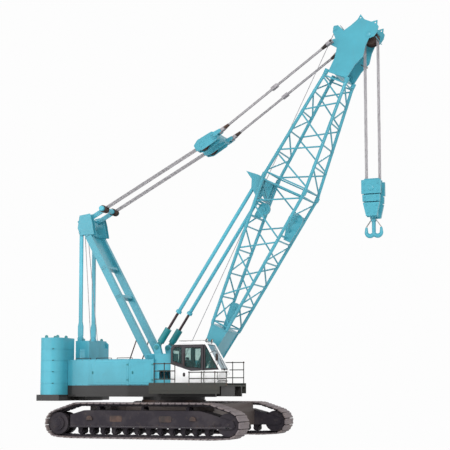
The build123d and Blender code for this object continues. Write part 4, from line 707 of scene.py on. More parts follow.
def rounded_frame(place, corners, radius, thickness, sides=6):
    """A bead round a closed outline whose corners are drawn in to arcs: each corner gives points on a
    quadratic curve from the edge before it to the edge after it."""
    corners = np.asarray(corners, float)
    before, after = np.roll(corners, 1, 0), np.roll(corners, -1, 0)
    start = corners + unit(before - corners) * radius
    end = corners + unit(after - corners) * radius
    t = np.linspace(0, 1, 6)[None, :, None]
    arc = (1 - t) ** 2 * start[:, None] + 2 * t * (1 - t) * corners[:, None] + t ** 2 * end[:, None]
    arc = arc.reshape(-1, 2)
    return tube(place(arc[:, 0], arc[:, 1]), thickness, sides, closed=True)


def rope_layer(centre, radius, half, pitch, sides=36):
    """Rope wound on a drum: a turned profile of one half round for each turn, R + r |sin| along the axis."""
    turns = max(2, int(2 * half / pitch))
    share = np.linspace(0, turns, turns * 4 + 1)
    height = radius + pitch * 0.5 * np.abs(np.sin(share * pi))
    profile = np.stack([share / turns * 2 * half - half, height], -1)
    inner = [(half, radius - 0.03), (-half, radius - 0.03)]
    return lathe(centre, LEFT, np.concatenate([profile, inner]), sides, ring=True)


def lamp_body(centre, aim, radius):
    """A work lamp: a turned bowl, open to the front where its face sits."""
    profile = [(-radius * 0.9, POLE), (-radius * 0.9, radius * 0.35), (-radius * 0.75, radius * 0.7),
               (0, radius), (radius * 0.12, radius), (radius * 0.12, radius * 0.92),
               (radius * 0.02, radius * 0.9), (radius * 0.02, POLE)]
    return lathe(centre, aim, profile, 24)


def lamp_face(centre, aim, radius):
    """A lamp's shallow glass: a turned cap R (1 - (r / R)^2)."""
    share = np.linspace(0.9, 0.02, 7)
    crown = [(radius * (0.03 + 0.16 * (0.81 - s * s)), radius * s) for s in share]
    return lathe(centre, aim, [(0.025 * radius, 0.9 * radius), *crown], 24)


# ---------------------------------------------------------------- crawlers
TRACK = dict(middle=2.84, height=1.41, half_width=0.535, shoes=62, gap=0.044, round=0.55,
             wheel_x=3.6, wheel_z=0.585, level_top=2.85, ground=3.0)
SHOE_PITCH = 0.2885
SHOE_DEPTH = 0.063
CHAIN_DEPTH = 0.155
FRAME_FACE = 3.27


def belt_line():
    """The crawler's outer line, from the rear top corner forwards: level runs, slopes and two end rounds.
    The rounds start and end where a slope is tangent to them, at atan2(dz, dx) -+ acos(R / distance)."""
    t = TRACK

    def tangent(x, z, side):
        """The angle at which a line from (x, z) touches the round."""
        dx, dz = x - t["wheel_x"], z - t["wheel_z"]
        return atan2(dz, dx) + side * np.arccos(t["round"] / hypot(dx, dz))

    turn = np.linspace(tangent(t["level_top"], t["height"], -1), tangent(t["ground"], 0, 1), 90)
    front = np.stack([t["wheel_x"] + t["round"] * np.cos(turn), t["wheel_z"] + t["round"] * np.sin(turn)],
                     -1)
    rear = front[::-1] * (-1, 1)
    top = [(-t["level_top"], t["height"]), (t["level_top"], t["height"])]
    ground = [(t["ground"], 0), (-t["ground"], 0)]
    return np.concatenate([top, front, ground, rear, top[:1]])


def belt_stations(shifts):
    """For each shoe, points on the belt's line at shifts from the shoe's middle, in shares of its pitch."""
    line = belt_line()
    run = np.concatenate([[0], np.cumsum(np.hypot(*np.diff(line, axis=0).T))])
    pitch = run[-1] / TRACK["shoes"]
    at = ((np.arange(TRACK["shoes"])[:, None] + 0.5 + np.asarray(shifts)[None]) * pitch) % run[-1]
    return np.stack([np.interp(at, run, line[:, 0]), np.interp(at, run, line[:, 1])], -1), pitch


def shoe_template(length, groove):
    """One cast shoe along its travel, across, and into the belt: two broad bars with a groove between them,
    carried across with its ends drawn in."""
    h = length / 2
    outline = np.array([(-h, 0.014), (-h + 0.014, 0), (-0.06, 0), (-0.045, groove), (0.045, groove),
                        (0.06, 0), (h - 0.014, 0), (h, 0.014), (h, 0.046), (h - 0.03, SHOE_DEPTH),
                        (-h + 0.03, SHOE_DEPTH), (-h, 0.046)])
    middle = np.array([0, 0.03])
    w = TRACK["half_width"]
    levels = np.array([(-w, 0.86), (-w + 0.02, 1.0), (w - 0.02, 1.0), (w, 0.86)])
    drawn = middle + (outline - middle)[None] * levels[:, 1, None, None]
    across = np.broadcast_to(levels[:, 0, None], drawn.shape[:2])
    return grid(np.stack([drawn[..., 0], across, drawn[..., 1]], -1))


def link_template(length, y):
    """One link plate of the chain: waisted in the middle, with round eyes at both ends."""
    h = length / 2
    outline = np.array([(-h, 0.075), (-h + 0.04, 0.05), (h - 0.04, 0.05), (h, 0.075), (h, 0.13),
                        (h - 0.035, CHAIN_DEPTH), (0.03, CHAIN_DEPTH), (0, 0.149), (-0.03, CHAIN_DEPTH),
                        (-h + 0.035, CHAIN_DEPTH), (-h, 0.13)])
    levels = np.array([y - 0.03, y + 0.03])
    across = np.broadcast_to(levels[:, None], (2, len(outline)))
    flat = np.broadcast_to(outline[None], (2, *outline.shape))
    return grid(np.stack([flat[..., 0], across, flat[..., 1]], -1))


def pin_template(radius, half):
    """A link pin across the chain."""
    turn = circle(8)
    ring = np.stack([radius * np.cos(turn), np.zeros(8), 0.11 + radius * np.sin(turn)], -1)
    return grid(np.stack([ring + (0, -half, 0), ring + (0, half, 0)]))


def crawler_belt(side, sizes):
    """Every shoe and link of one belt, set on the belt's line."""
    half_gap = 0.5 * TRACK["gap"] / SHOE_PITCH
    ends, pitch = belt_stations((-0.5 + half_gap, 0.5 - half_gap, 0.5))
    start, end, joint = ends[:, 0], ends[:, 1], ends[:, 2]
    along = unit(end - start)
    travel = np.stack([along[:, 0], 0 * along[:, 0], along[:, 1]], -1)
    inward = np.stack([along[:, 1], 0 * along[:, 0], -along[:, 0]], -1)
    axes = np.stack([travel, np.broadcast_to(LEFT, travel.shape), inward], 1)
    middle = (start + end) / 2
    places = crane(middle[:, 0], side * TRACK["middle"], middle[:, 1])
    length = float(np.hypot(*(end - start)[0]))
    shoes = repeated(shoe_template(length, sizes.groove), places, axes)
    turn = circle(6)
    ring = np.stack([0.015 * np.cos(turn), 0.015 * np.sin(turn), 0 * turn], -1)
    head = grid(np.stack([ring, ring * 0.9 + (0, 0, -0.008)]))
    bolts = [repeated(head, places + travel * s + LEFT * y + inward * (sizes.groove + 0.002), axes)
             for s in (-0.024, 0.024) for y in (-0.33, 0.33)]
    reach = CHAIN_DEPTH / TRACK["round"]
    links = [repeated(link_template(pitch * (1 - 0.35 * reach), y), places, axes) for y in (-0.125, 0.125)]
    pin_places = crane(joint[:, 0], side * TRACK["middle"], joint[:, 1])
    pins = repeated(pin_template(0.026, 0.163), pin_places, axes)
    return merged([shoes, *bolts]), merged([*links, pins])


def make_crawlers(sizes):
    """Belts of single shoes, and the covers, caps and bolts of the frames' sides."""
    for name, side in SIDES:
        shoes, chain = crawler_belt(side, sizes)
        made = piece(f"crawler_shoes_{name}", shoes, "undercarriage", "shoes", sharp=30)
        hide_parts(f"track_belt_{name}")
        piece(f"crawler_links_{name}", chain, "undercarriage", "crawler", sharp=40)
        piece(f"drive_cover_{name}", drive_cover(side), "undercarriage", "crawler")
        piece(f"idler_cap_{name}", idler_cap(side), "undercarriage", "crawler")
        piece(f"frame_bolts_{name}", frame_bolts(side), "undercarriage", "dark_steel")
        piece(f"ledge_wear_{name}", ledge_wear(side), "undercarriage", "bright_steel", bevel=0.002)


def drive_cover(side):
    """The drive's stepped cover over the plain one, its ring of bolts and its filler plugs."""
    face = 3.298
    centre = crane(-TRACK["wheel_x"], side * face, TRACK["wheel_z"])
    out = LEFT * side
    profile = [(-0.02, POLE), (-0.02, 0.205), (0.012, 0.205), (0.018, 0.195), (0.018, 0.15), (0.036, 0.14),
               (0.042, 0.12), (0.042, 0.05), (0.05, 0.045), (0.05, POLE)]
    parts = [lathe(centre, out, profile, 40),
             bolt_circle(centre, out, 0.238, 20, 0.014, 0.012),
             bolt_circle(centre + out * 0.018, out, 0.172, 10, 0.011, 0.01)]
    for turn in (0.6, 2.4):
        spot = centre + 0.09 * (AHEAD * cos(turn) + UP * sin(turn)) + out * 0.04
        parts.append(disc(spot, out, 0.018, 0, 0.012, 0.014, 12))
    return merged(parts)


def idler_cap(side):
    """The idler's end cap, its slide block in the fork, and the screw that takes up the slack."""
    out = LEFT * side
    centre = crane(TRACK["wheel_x"], side * FRAME_FACE, TRACK["wheel_z"])
    profile = [(-0.01, POLE), (-0.01, 0.15), (0.012, 0.15), (0.02, 0.14), (0.02, 0.09), (0.04, 0.08),
               (0.042, POLE)]
    screw = crane(TRACK["wheel_x"] - 0.62, side * 3.285, TRACK["wheel_z"])
    nut = [(0, 0.02), (0, 0.045), (0.05, 0.045), (0.05, 0.02)]
    parts = [lathe(centre, out, profile, 36),
             bolt_circle(centre + out * 0.02, out, 0.115, 8, 0.012, 0.01),
             soft_block(centre + AHEAD * -0.02 - out * 0.004, (0.25, 0.17, 0.012), (AHEAD, UP, out),
                        power=8.0),
             straight(screw, screw + AHEAD * 0.36, 0.028, 12),
             lathe(screw + AHEAD * 0.05, AHEAD, nut, 6)]
    return merged(parts)


def frame_bolts(side):
    """Half-round lifting lugs, inspection covers with their bolts, and the row of roller bolts."""
    face = side * FRAME_FACE
    out = LEFT * side
    parts = [bolt_heads(crane(np.linspace(-2.85, 3.1, 26), face, 0.535), out, 0.017, 0.014)]
    eye = [(-0.002, POLE), (-0.002, 0.05), (0.008, 0.05), (0.008, 0.03), (0.002, POLE)]
    for x in (-2.2, 2.2):
        lug = half_round(x, 0.76, 0.13, 0.72)
        parts.append(plate(crane_side, lug, face - side * 0.01, face + side * 0.05))
        parts.append(lathe(crane(x, face + side * 0.05, 0.8), out, eye, 16))
    for x in (-1.05, 1.05):
        parts.append(soft_block(crane(x, face, 0.78), (0.26, 0.12, 0.012), (AHEAD, UP, out), power=7.0))
        corners = np.array([(dx, dz) for dx in (-0.21, 0, 0.21) for dz in (-0.085, 0.085)])
        parts.append(bolt_heads(crane(x + corners[:, 0], face + side * 0.012, 0.78 + corners[:, 1]), out,
                                0.012, 0.01))
    return merged(parts)


def ledge_wear(side):
    """The strip of the side ledge that boots and stones have rubbed bright."""
    y0, y1 = side * 3.272, side * 3.2915
    return box_at(-3.03, 3.75, min(y0, y1), max(y0, y1), 0.4835, 0.4875)


# ---------------------------------------------------------------- counterweight
WEIGHT = dict(rear=-5.19, front=-4.145, inner=1.02, outer=2.28, bottom=1.70, top=4.05, slabs=5)


def make_counterweight():
    """Lifting lugs on both stacks, and a notch with its tie bar at each joint between two slabs."""
    w = WEIGHT
    rise = (w["top"] - w["bottom"]) / w["slabs"]
    lugs, notches, bars = [], [], []
    for x in (w["rear"] + 0.26, w["front"] - 0.26):
        for y in (w["inner"] + 0.25, w["outer"] - 0.3):
            lug = half_round(x, w["top"] + 0.05, 0.07, w["top"] - 0.004)
            lugs.append(plate(crane_side, lug, y - 0.016, y + 0.016))
    x, y = w["front"] - 0.3, w["outer"]
    for level in range(1, w["slabs"]):
        z = w["bottom"] + rise * level
        notches.append(box_at(x - 0.035, x + 0.035, y - 0.03, y + 0.003, z - 0.02, z + 0.02))
        bars.append(straight(crane(x - 0.03, y + 0.01, z), crane(x + 0.03, y + 0.01, z), 0.008, 8))
    piece("weight_lugs", both_sides(merged(lugs)), "upperstructure", "teal_dark", sharp=30)
    piece("weight_notches", both_sides(merged(notches)), "upperstructure", "teal_dark")
    piece("weight_tie_bars", both_sides(merged(bars)), "upperstructure", "rubber")


# ---------------------------------------------------------------- engine houses
HOUSE = dict(wall=1.56, door=1.613)
# body, side, rear edge, front edge
HOUSE_DOORS = (("house_door_left", 1, -2.9, -1.5), ("house_door_rear", -1, -3.12, -1.311),
               ("house_door_front", -1, -1.311, -0.2))


def make_houses(sizes):
    """Edges, handles and hinge barrels of the doors, louvres, roof rails and hatches, bolts and pipes."""
    for body, side, x0, x1 in HOUSE_DOORS:
        face, out = side * HOUSE["door"], LEFT * side

        def on_door(x, z, face=face):
            """A point on the door's outer face."""
            return crane(x, face, z)

        edge = [(x0 + 0.09, 2.2), (x1 - 0.09, 2.2), (x1 - 0.09, 3.02), (x0 + 0.09, 3.02)]
        handle = on_door(x0 + 0.17, 2.6)
        grip = [soft_block(handle, (0.035, 0.06, 0.006), (AHEAD, UP, out), power=5.0),
                soft_block(handle + out * 0.014, (0.012, 0.045, 0.01), (AHEAD, UP, out), power=4.0)]
        for z in (2.3, 2.92):
            grip.append(straight(on_door(x1 - 0.03, z - 0.05), on_door(x1 - 0.03, z + 0.05), 0.013, 10))
            grip.append(soft_block(on_door(x1 - 0.07, z), (0.045, 0.03, 0.004), (AHEAD, UP, out)))
        piece(f"{body}_edge", rounded_frame(on_door, edge, 0.05, 0.007), body, "teal")
        piece(f"{body}_handle", merged(grip), body, "teal_dark")
    piece("hood_louvres", hood_louvres(), "upperstructure", "teal", bevel=0.002)
    piece("roof_rails", roof_rails(sizes), "upperstructure", "dark_steel")
    piece("roof_fittings", roof_fittings(), "upperstructure", "teal", sharp=40)
    piece("house_bolts", house_bolts(), "upperstructure", "dark_steel")
    piece("cabinet_pipes", cabinet_pipes(), "upperstructure", "hose", sharp=60)
    piece("cabinet_unions", cabinet_unions(), "upperstructure", "bright_steel")


HOUSE_SIDES = ((-1, -0.75), (1, 0.5))


def hood_louvres():
    """Slats down the hood's side, each a thin blade leaning out at its foot."""
    blades = []
    for z in np.linspace(3.165, 3.325, 7):
        outline = [(-1.438, z + 0.008), (-1.438, z), (-1.456, z - 0.012), (-1.458, z - 0.008)]
        blades.append(plate(crane_end, outline, -0.605, -0.225))
    frame = [box_at(x - 0.008, x + 0.008, -1.452, -1.436, 3.148, 3.34) for x in (-0.613, -0.217)]
    return merged(blades + frame)


def roof_rails(sizes):
    """Low grab rails along both roof edges, each a bar on short posts."""
    parts = []
    for side, front in HOUSE_SIDES:
        y = side * 1.5
        for x0 in np.arange(-3.8, front - 0.7, 0.95):
            points = [crane(x0, y, 3.138), crane(x0 + 0.01, y, 3.185), crane(x0 + 0.06, y, 3.2),
                      crane(x0 + 0.64, y, 3.2), crane(x0 + 0.69, y, 3.185), crane(x0 + 0.7, y, 3.138)]
            parts.append(bent(points, sizes.rail * 0.7, 8, 4))
    return merged(parts)


def roof_fittings():
    """Raised roof hatches, each with two stiffeners on its lid."""
    parts = []
    for side, front in HOUSE_SIDES:
        middle = side * 1.2
        for x in np.linspace(-3.6, front - 0.5, 5):
            parts.append(soft_block(crane(x, middle, 3.142), (0.27, 0.17, 0.014), power=9.0))
            for dy in (-0.06, 0.06):
                parts.append(straight(crane(x - 0.2, middle + dy, 3.156),
                                      crane(x + 0.2, middle + dy, 3.156), 0.009, 6))
    return merged(parts)


def house_bolts():
    """Bolt heads along the foot of each house and round the roof's edge seams."""
    parts = []
    for side, front in ((-1, -0.25), (1, 0.55)):
        out = LEFT * side
        for z in (2.105, 3.118):
            spots = np.arange(-4.05, front, 0.3)
            parts.append(bolt_heads(crane(spots, side * HOUSE["wall"], z), out, 0.011, 0.009))
    return merged(parts)


# x at the valve face and y at the floor of each pipe
PIPES = tuple((0.02 + 0.11 * number, y) for number, y in enumerate((-1.4, -1.29, -1.18, -1.07)))


def cabinet_pipes():
    """Hydraulic pipes in the open bay: each leaves a valve face, bends down and goes through the floor."""
    parts = []
    for x, y in PIPES:
        route = [crane(x, -0.998, 2.66), crane(x, -1.1, 2.66), crane(x, y, 2.6), crane(x + 0.02, y, 2.42),
                 crane(x + 0.05, y, 2.2), crane(x + 0.05, y, 2.09)]
        parts.append(bent(route, 0.022, 10, 6))
    return merged(parts)


def cabinet_unions():
    """The hexagon unions at both ends of each pipe."""
    parts = []
    for x, y in PIPES:
        profile = [(0, 0.02), (0, 0.036), (0.035, 0.036), (0.035, 0.02)]
        parts.append(lathe(crane(x, -1.0, 2.66), -LEFT, profile, 6, ring=True))
        parts.append(lathe(crane(x + 0.05, y, 2.09), UP, profile, 6, ring=True))
    return merged(parts)


# ---------------------------------------------------------------- cab
CAB = dict(outer=-1.83, inner=-0.83, door=-1.878, rear=0.64)
CAB_ROOF_Z = 3.738
NOSE, BROW = (2.74, 2.66), (2.11, 3.74)
SIDE_WINDOWS = (
    ((2.12, 2.74), (2.62, 2.74), (2.21, 3.54), (2.12, 3.6)),
    ((0.73, 3.04), (1.11, 2.92), (1.11, 3.6), (0.84, 3.6), (0.73, 3.48)),
)
DOOR_WINDOW = ((1.28, 2.8), (1.96, 2.75), (1.96, 3.57), (1.28, 3.57))


def screen(share, lift=0.0):
    """X and Z on the sloping windscreen at a share of its height, lifted off its face."""
    dx, dz = BROW[0] - NOSE[0], BROW[1] - NOSE[1]
    length = hypot(dx, dz)
    return NOSE[0] + dx * share + lift * dz / length, NOSE[1] + dz * share - lift * dx / length


def on_screen(share, lift, y):
    """A point over the windscreen's face."""
    x, z = screen(share, lift)
    return crane(x, y, z)


def make_cab(sizes):
    """Seals round every pane, pillars, roof rail, lamps, the mirror, wiper, grab bars and door handle."""
    piece("window_seals", window_seals(), "upperstructure", "rubber")
    piece("door_window_seal", door_seal(), "cab_door", "rubber")
    piece("screen_pillars", screen_pillars(), "upperstructure", "white")
    piece("screen_pane", screen_pane(), "upperstructure", "screen", sharp=60)
    piece("cab_roof_panel", cab_roof_panel(), "upperstructure", "white", bevel=0.004)
    piece("cab_roof_rail", cab_roof_rail(sizes), "upperstructure", "bright_steel")
    bowls, faces = cab_lamps()
    piece("cab_lamps", bowls, "upperstructure", "dark_steel", sharp=50)
    piece("cab_lamp_faces", faces, "upperstructure", "lamp", sharp=50)
    piece("wiper", wiper(), "upperstructure", "rubber")
    piece("mirrors", mirrors(sizes), "upperstructure", "dark_steel", sharp=50)
    piece("mirror_faces", mirror_faces(), "upperstructure", "bright_steel")
    piece("cab_grab_bars", grab_bars(sizes), "upperstructure", "dark_steel")
    piece("cab_door_handle", door_handle(), "cab_door", "dark_steel", sharp=50)
    piece("cab_foot_trim", cab_foot_trim(), "upperstructure", "rubber")


def window_seals():
    """Rubber beads round the fixed panes of both sides, the rear pane and the screen."""
    parts = []
    for y in (CAB["outer"] + 0.009, CAB["inner"] - 0.009):
        for outline in SIDE_WINDOWS:
            parts.append(rounded_frame(lambda x, z, y=y: crane(x, y, z), outline, 0.035, 0.014))
    parts.append(rounded_frame(lambda x, z: crane(x, CAB["inner"] + 0.002, z), DOOR_WINDOW, 0.035, 0.014))
    screen_edge = ((-1.765, 0.055), (-0.895, 0.055), (-0.895, 0.945), (-1.765, 0.945))
    parts.append(rounded_frame(lambda y, share: on_screen(share, 0.003, y), screen_edge, 0.03, 0.016))
    rear_pane = ((-1.7, 2.95), (-0.96, 2.95), (-0.96, 3.48), (-1.7, 3.48))
    parts.append(rounded_frame(lambda y, z: crane(CAB["rear"] - 0.002, y, z), rear_pane, 0.04, 0.014))
    return merged(parts)


def door_seal():
    """The bead round the sliding door's pane."""
    return rounded_frame(lambda x, z: crane(x, CAB["door"] - 0.002, z), DOOR_WINDOW, 0.035, 0.014)


def screen_pillars():
    """White corner tubes that run up both edges of the screen and bend back into the roof's edge."""
    parts = []
    for y in (CAB["outer"] + 0.028, CAB["inner"] - 0.028):
        route = [crane(2.735, y, 2.52), crane(2.752, y, 2.66), on_screen(0.3, 0.016, y),
                 on_screen(0.7, 0.018, y), on_screen(0.94, 0.016, y),
                 crane(2.06, y, 3.765), crane(1.9, y, 3.768), crane(1.0, y, 3.762)]
        parts.append(bent(route, 0.045, 12, 6))
    return merged(parts)


def screen_pane():
    """The bowed windscreen: a plane lifted by b (1 - u^2)(1 - v^2), with a face behind it."""
    u, v = np.meshgrid(np.linspace(-1, 1, 21), np.linspace(-1, 1, 21), indexing="ij")
    y = -1.33 + 0.43 * u
    layers = []
    for back in (0.0, 0.006):
        layers.append(on_screen(0.5 + 0.44 * v, 0.006 + 0.035 * (1 - u ** 2) * (1 - v ** 2) - back, y))
    front, rear = layers
    return grid(np.concatenate([front, rear[:, ::-1]], 1))


def cab_roof_panel():
    """A thin stiffened lid on the roof, with three pressed ribs along it."""
    parts = [soft_block(crane(1.45, -1.33, 3.742), (0.46, 0.36, 0.02), power=7.0, count=28)]
    for y in (-1.5, -1.33, -1.16):
        parts.append(soft_block(crane(1.45, y, 3.76), (0.36, 0.035, 0.012), power=4.0))
    return merged(parts)


def cab_roof_rail(sizes):
    """The rail round the cab's roof, on six short posts."""
    x0, x1, y0, y1, z = 0.95, 2.0, -1.77, -0.89, 3.85
    corners = ((x0, y0), (x1, y0), (x1, y1), (x0, y1))
    parts = [rounded_frame(lambda x, y: crane(x, y, z), corners, 0.08, sizes.rail * 0.6, 8)]
    for x in (x0 + 0.12, (x0 + x1) / 2, x1 - 0.12):
        for y in (y0, y1):
            parts.append(straight(crane(x, y, CAB_ROOF_Z), crane(x, y, z), sizes.rail * 0.7, 8))
    return merged(parts)


LAMPS = ((2.12, -1.62, 3.86), (2.12, -1.04, 3.86))


def cab_lamps():
    """Two work lamps over the brow on their brackets: bowls and faces."""
    aim = unit(np.array([1.0, 0.0, -0.28]))
    bodies, faces = [], []
    for x, y, z in LAMPS:
        centre = crane(x, y, z)
        bodies.append(lamp_body(centre, aim, 0.07))
        bodies.append(straight(centre - aim * 0.03 - UP * 0.06, crane(x - 0.05, y, CAB_ROOF_Z), 0.014, 8))
        faces.append(lamp_face(centre, aim, 0.07))
    return merged(bodies), merged(faces)


def wiper():
    """The windscreen wiper: motor hub at the nose, a bent arm and a blade that lies on the glass."""
    arm = bent([on_screen(0.02, 0.03, -1.33), on_screen(0.15, 0.05, -1.31), on_screen(0.42, 0.045, -1.24)],
               0.009, 8)
    blade = straight(on_screen(0.2, 0.02, -1.265), on_screen(0.66, 0.02, -1.19), 0.011, 6)
    hub = lathe(on_screen(0.02, 0.0, -1.33), unit(np.array([0.86, 0, 0.5])),
                [(0, POLE), (0, 0.028), (0.03, 0.022), (0.034, POLE)], 14)
    return merged([arm, blade, hub])


def mirrors(sizes):
    """A mirror on a bowed arm at the cab's outer front corner."""
    y = CAB["outer"]
    route = [crane(2.62, y, 2.86), crane(2.7, y - 0.1, 2.95), crane(2.74, y - 0.2, 3.1),
             crane(2.72, y - 0.22, 3.32), crane(2.6, y - 0.16, 3.42), crane(2.33, y, 3.36)]
    shell = soft_block(crane(2.705, y - 0.24, 3.17), (0.085, 0.14, 0.028), (LEFT, UP, AHEAD), 0.3, 5.0)
    return merged([bent(route, sizes.rail * 0.55, 8, 6), shell])


def mirror_faces():
    """The mirror's glass, on the side that the driver sees."""
    return soft_block(crane(2.677, -2.07, 3.17), (0.072, 0.124, 0.002), (LEFT, UP, AHEAD), 0.1, 5.0)


def grab_bars(sizes):
    """Two upright hand bars low on the cab's outer side, and one across the nose."""
    parts = []
    y = CAB["outer"]
    for x, z0, z1 in ((2.09, 2.2, 2.62), (2.66, 2.3, 2.6)):
        route = [crane(x, y + 0.004, z0), crane(x, y - 0.05, z0 + 0.02), crane(x, y - 0.06, (z0 + z1) / 2),
                 crane(x, y - 0.05, z1 - 0.02), crane(x, y + 0.004, z1)]
        parts.append(bent(route, sizes.rail * 0.6, 8, 5))
    nose = [crane(2.64, -1.75, 2.24), crane(2.73, -1.75, 2.25), crane(2.745, -1.33, 2.26),
            crane(2.73, -0.92, 2.25), crane(2.64, -0.92, 2.24)]
    parts.append(bent(nose, sizes.rail * 0.6, 8, 6))
    return merged(parts)


def door_handle():
    """The door's pull: a recessed dish, a lever in it and a bar beside the glass."""
    y = CAB["door"]
    parts = [soft_block(crane(1.24, y, 2.5), (0.05, 0.075, 0.006), (AHEAD, UP, -LEFT), power=4.0),
             soft_block(crane(1.24, y - 0.014, 2.5), (0.016, 0.055, 0.009), (AHEAD, UP, -LEFT), power=4.0)]
    route = [crane(1.235, y + 0.003, 2.85), crane(1.235, y - 0.04, 2.88), crane(1.235, y - 0.045, 3.1),
             crane(1.235, y - 0.04, 3.32), crane(1.235, y + 0.003, 3.35)]
    parts.append(bent(route, 0.011, 8, 5))
    return merged(parts)


def cab_foot_trim():
    """A black rubber strip round the cab's foot."""
    return merged([box_at(0.66, 2.6, CAB["outer"] - 0.007, CAB["outer"] + 0.002, 2.085, 2.13),
                   box_at(0.66, 2.6, CAB["inner"] - 0.002, CAB["inner"] + 0.007, 2.085, 2.13)])


# ---------------------------------------------------------------- cab inside
SEAT_MIDDLE = -1.33


def padded_form(centre, half, axes, crown, rise=0.0):
    """An upholstered block: a soft-cornered outline whose two faces bulge by crown (1 - u^4)(1 - v^4)."""
    count = 36
    outline = round_outline(half[0], half[1], 4.5, count)
    rings = np.array([0.02, 0.3, 0.55, 0.75, 0.9, 1.0])
    levels = np.concatenate([rings, rings[::-1]])
    sign = np.concatenate([np.ones(6), -np.ones(6)])
    flat = outline[None] * levels[:, None, None]
    u, v = flat[..., 0] / half[0], flat[..., 1] / half[1]
    edge = np.where(levels >= 1.0, 0.55, np.where(levels >= 0.9, 0.86, 1.0))[:, None]
    height = sign[:, None] * (half[2] * edge + crown * (1 - u ** 4) * (1 - v ** 4)) + rise * v
    a, b, c = (np.asarray(axis, float) for axis in axes)
    points = np.asarray(centre) + flat[..., :1] * a + flat[..., 1:] * b + height[..., None] * c
    return grid(points)


def seam(centre, half, axes, radius=0.005):
    """The welt sewn round a pad's middle."""
    outline = round_outline(half[0] * 1.004, half[1] * 1.004, 4.5, 48)
    a, b, _ = (np.asarray(axis, float) for axis in axes)
    return tube(np.asarray(centre) + outline[:, :1] * a + outline[:, 1:] * b, radius, 6, closed=True)


def make_cab_inside():
    """A sprung seat with sewn pads, its consoles, levers, pedals and a screen."""
    floor = 2.125
    lean = radians(9)
    up = UP * cos(lean) - AHEAD * sin(lean)
    ahead = AHEAD * cos(lean) + UP * sin(lean)
    level, upright = (AHEAD, LEFT, UP), (LEFT, up, ahead)
    pads = (
        ("seat_cushion", crane(1.44, SEAT_MIDDLE, floor + 0.4), (0.25, 0.235, 0.045), level, 0.018),
        ("seat_back", crane(1.2, SEAT_MIDDLE, floor + 0.72), (0.23, 0.26, 0.045), upright, 0.02),
        ("seat_head_rest", crane(1.16, SEAT_MIDDLE, floor + 1.02), (0.13, 0.05, 0.035), upright, 0.01),
    )
    for name, centre, half, axes, crown in pads:
        made = piece(name, merged([padded_form(centre, half, axes, crown), seam(centre, half, axes)]),
                     "upperstructure", "seat", sharp=60)
        if name == "seat_cushion":
            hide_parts("cab_seat")
    frame = [soft_block(crane(1.43, SEAT_MIDDLE, floor + 0.1), (0.17, 0.17, 0.1), power=8.0),
             soft_block(crane(1.43, SEAT_MIDDLE, floor + 0.28), (0.2, 0.19, 0.06), power=8.0)]
    frame += [lathe(crane(1.43, SEAT_MIDDLE, z), UP, [(-0.012, 0.1), (0, 0.14), (0.012, 0.1)], 24)
              for z in np.linspace(floor + 0.2, floor + 0.235, 3)]
    piece("seat_base", merged(frame), "upperstructure", "rubber", sharp=50)
    consoles, levers = [], []
    knob = [(-0.01, POLE), (0, 0.017), (0.025, 0.022), (0.05, 0.015), (0.056, POLE)]
    for side in (-1, 1):
        y = SEAT_MIDDLE + side * 0.335
        consoles.append(soft_block(crane(1.56, y, floor + 0.31), (0.25, 0.06, 0.305), edge=0.5, power=8.0))
        for x in (1.62, 1.74):
            root = crane(x, y, floor + 0.61)
            top = root + UP * 0.14 + AHEAD * 0.02
            levers.append(bent([root, root + UP * 0.07, top], 0.007, 8))
            levers.append(lathe(top, UP, knob, 14))
    for side in (-1, 1):
        levers.append(soft_block(crane(2.3, SEAT_MIDDLE + side * 0.12, floor + 0.08), (0.09, 0.045, 0.01),
                                 (unit(AHEAD + UP * 0.9), LEFT, unit(UP - AHEAD * 0.9))))
    screen_axes = (LEFT, unit(UP - AHEAD * 0.25), unit(AHEAD + UP * 0.25))
    consoles.append(soft_block(crane(2.28, -1.02, floor + 0.62), (0.11, 0.08, 0.018), screen_axes, 0.4))
    consoles.append(straight(crane(2.3, -1.02, floor), crane(2.29, -1.02, floor + 0.6), 0.02, 10))
    piece("cab_consoles", merged(consoles), "upperstructure", "rubber", sharp=50)
    piece("cab_levers", merged(levers), "upperstructure", "dark_steel", sharp=50)


# ---------------------------------------------------------------- walkways
def make_walkways():
    """Sockets, caps and clamps of the rail posts, toe boards, brackets, fascia bolts and deck fittings."""
    piece("walkway_sockets", walkway_sockets(), "upperstructure", "dark_steel")
    piece("walkway_toe_boards", toe_boards(), "upperstructure", "olive", bevel=0.002)
    piece("walkway_brackets", walkway_brackets(), "upperstructure", "skirt", bevel=0.003)
    piece("fascia_bolts", fascia_bolts(), "upperstructure", "dark_steel")
    piece("rail_chains", rail_caps(), "upperstructure", "dark_steel")
    piece("deck_fittings", deck_fittings(), "upperstructure", "dark_steel", sharp=40)


DECK_Z = 2.08
# y, the posts' x, height over the deck
RAIL_POSTS = ((-2.27, (0.12, 0.56, 1.015), 0.87), (-2.27, (1.62, 2.14, 2.7, 3.18), 0.525),
              (2.03, (0.76, 1.3, 1.85, 2.35), 1.0))


def walkway_sockets():
    """The collar, flange and pinch bolt at each rail post's foot."""
    collar = [(-0.002, POLE), (-0.002, 0.045), (0.01, 0.045), (0.012, 0.03), (0.09, 0.03), (0.09, POLE)]
    parts = []
    for y, posts, _ in RAIL_POSTS:
        side = 1 if y > 0 else -1
        for x in posts:
            foot = crane(x, y, DECK_Z)
            parts.append(lathe(foot, UP, collar, 16))
            parts.append(bolt_heads(foot + UP * 0.06 + LEFT * (0.028 * side), LEFT * side, 0.01, 0.012))
    return merged(parts)


def toe_boards():
    """Upstands along the platforms' outer edges, and the rubbing strip along the right fascia."""
    return merged([box_at(-0.08, 2.9, -2.31, -2.298, 1.86, 1.885),
                   box_at(-0.1, 3.2, -2.298, -2.292, 2.078, 2.18),
                   box_at(0.66, 2.45, 2.052, 2.058, 2.078, 2.18)])


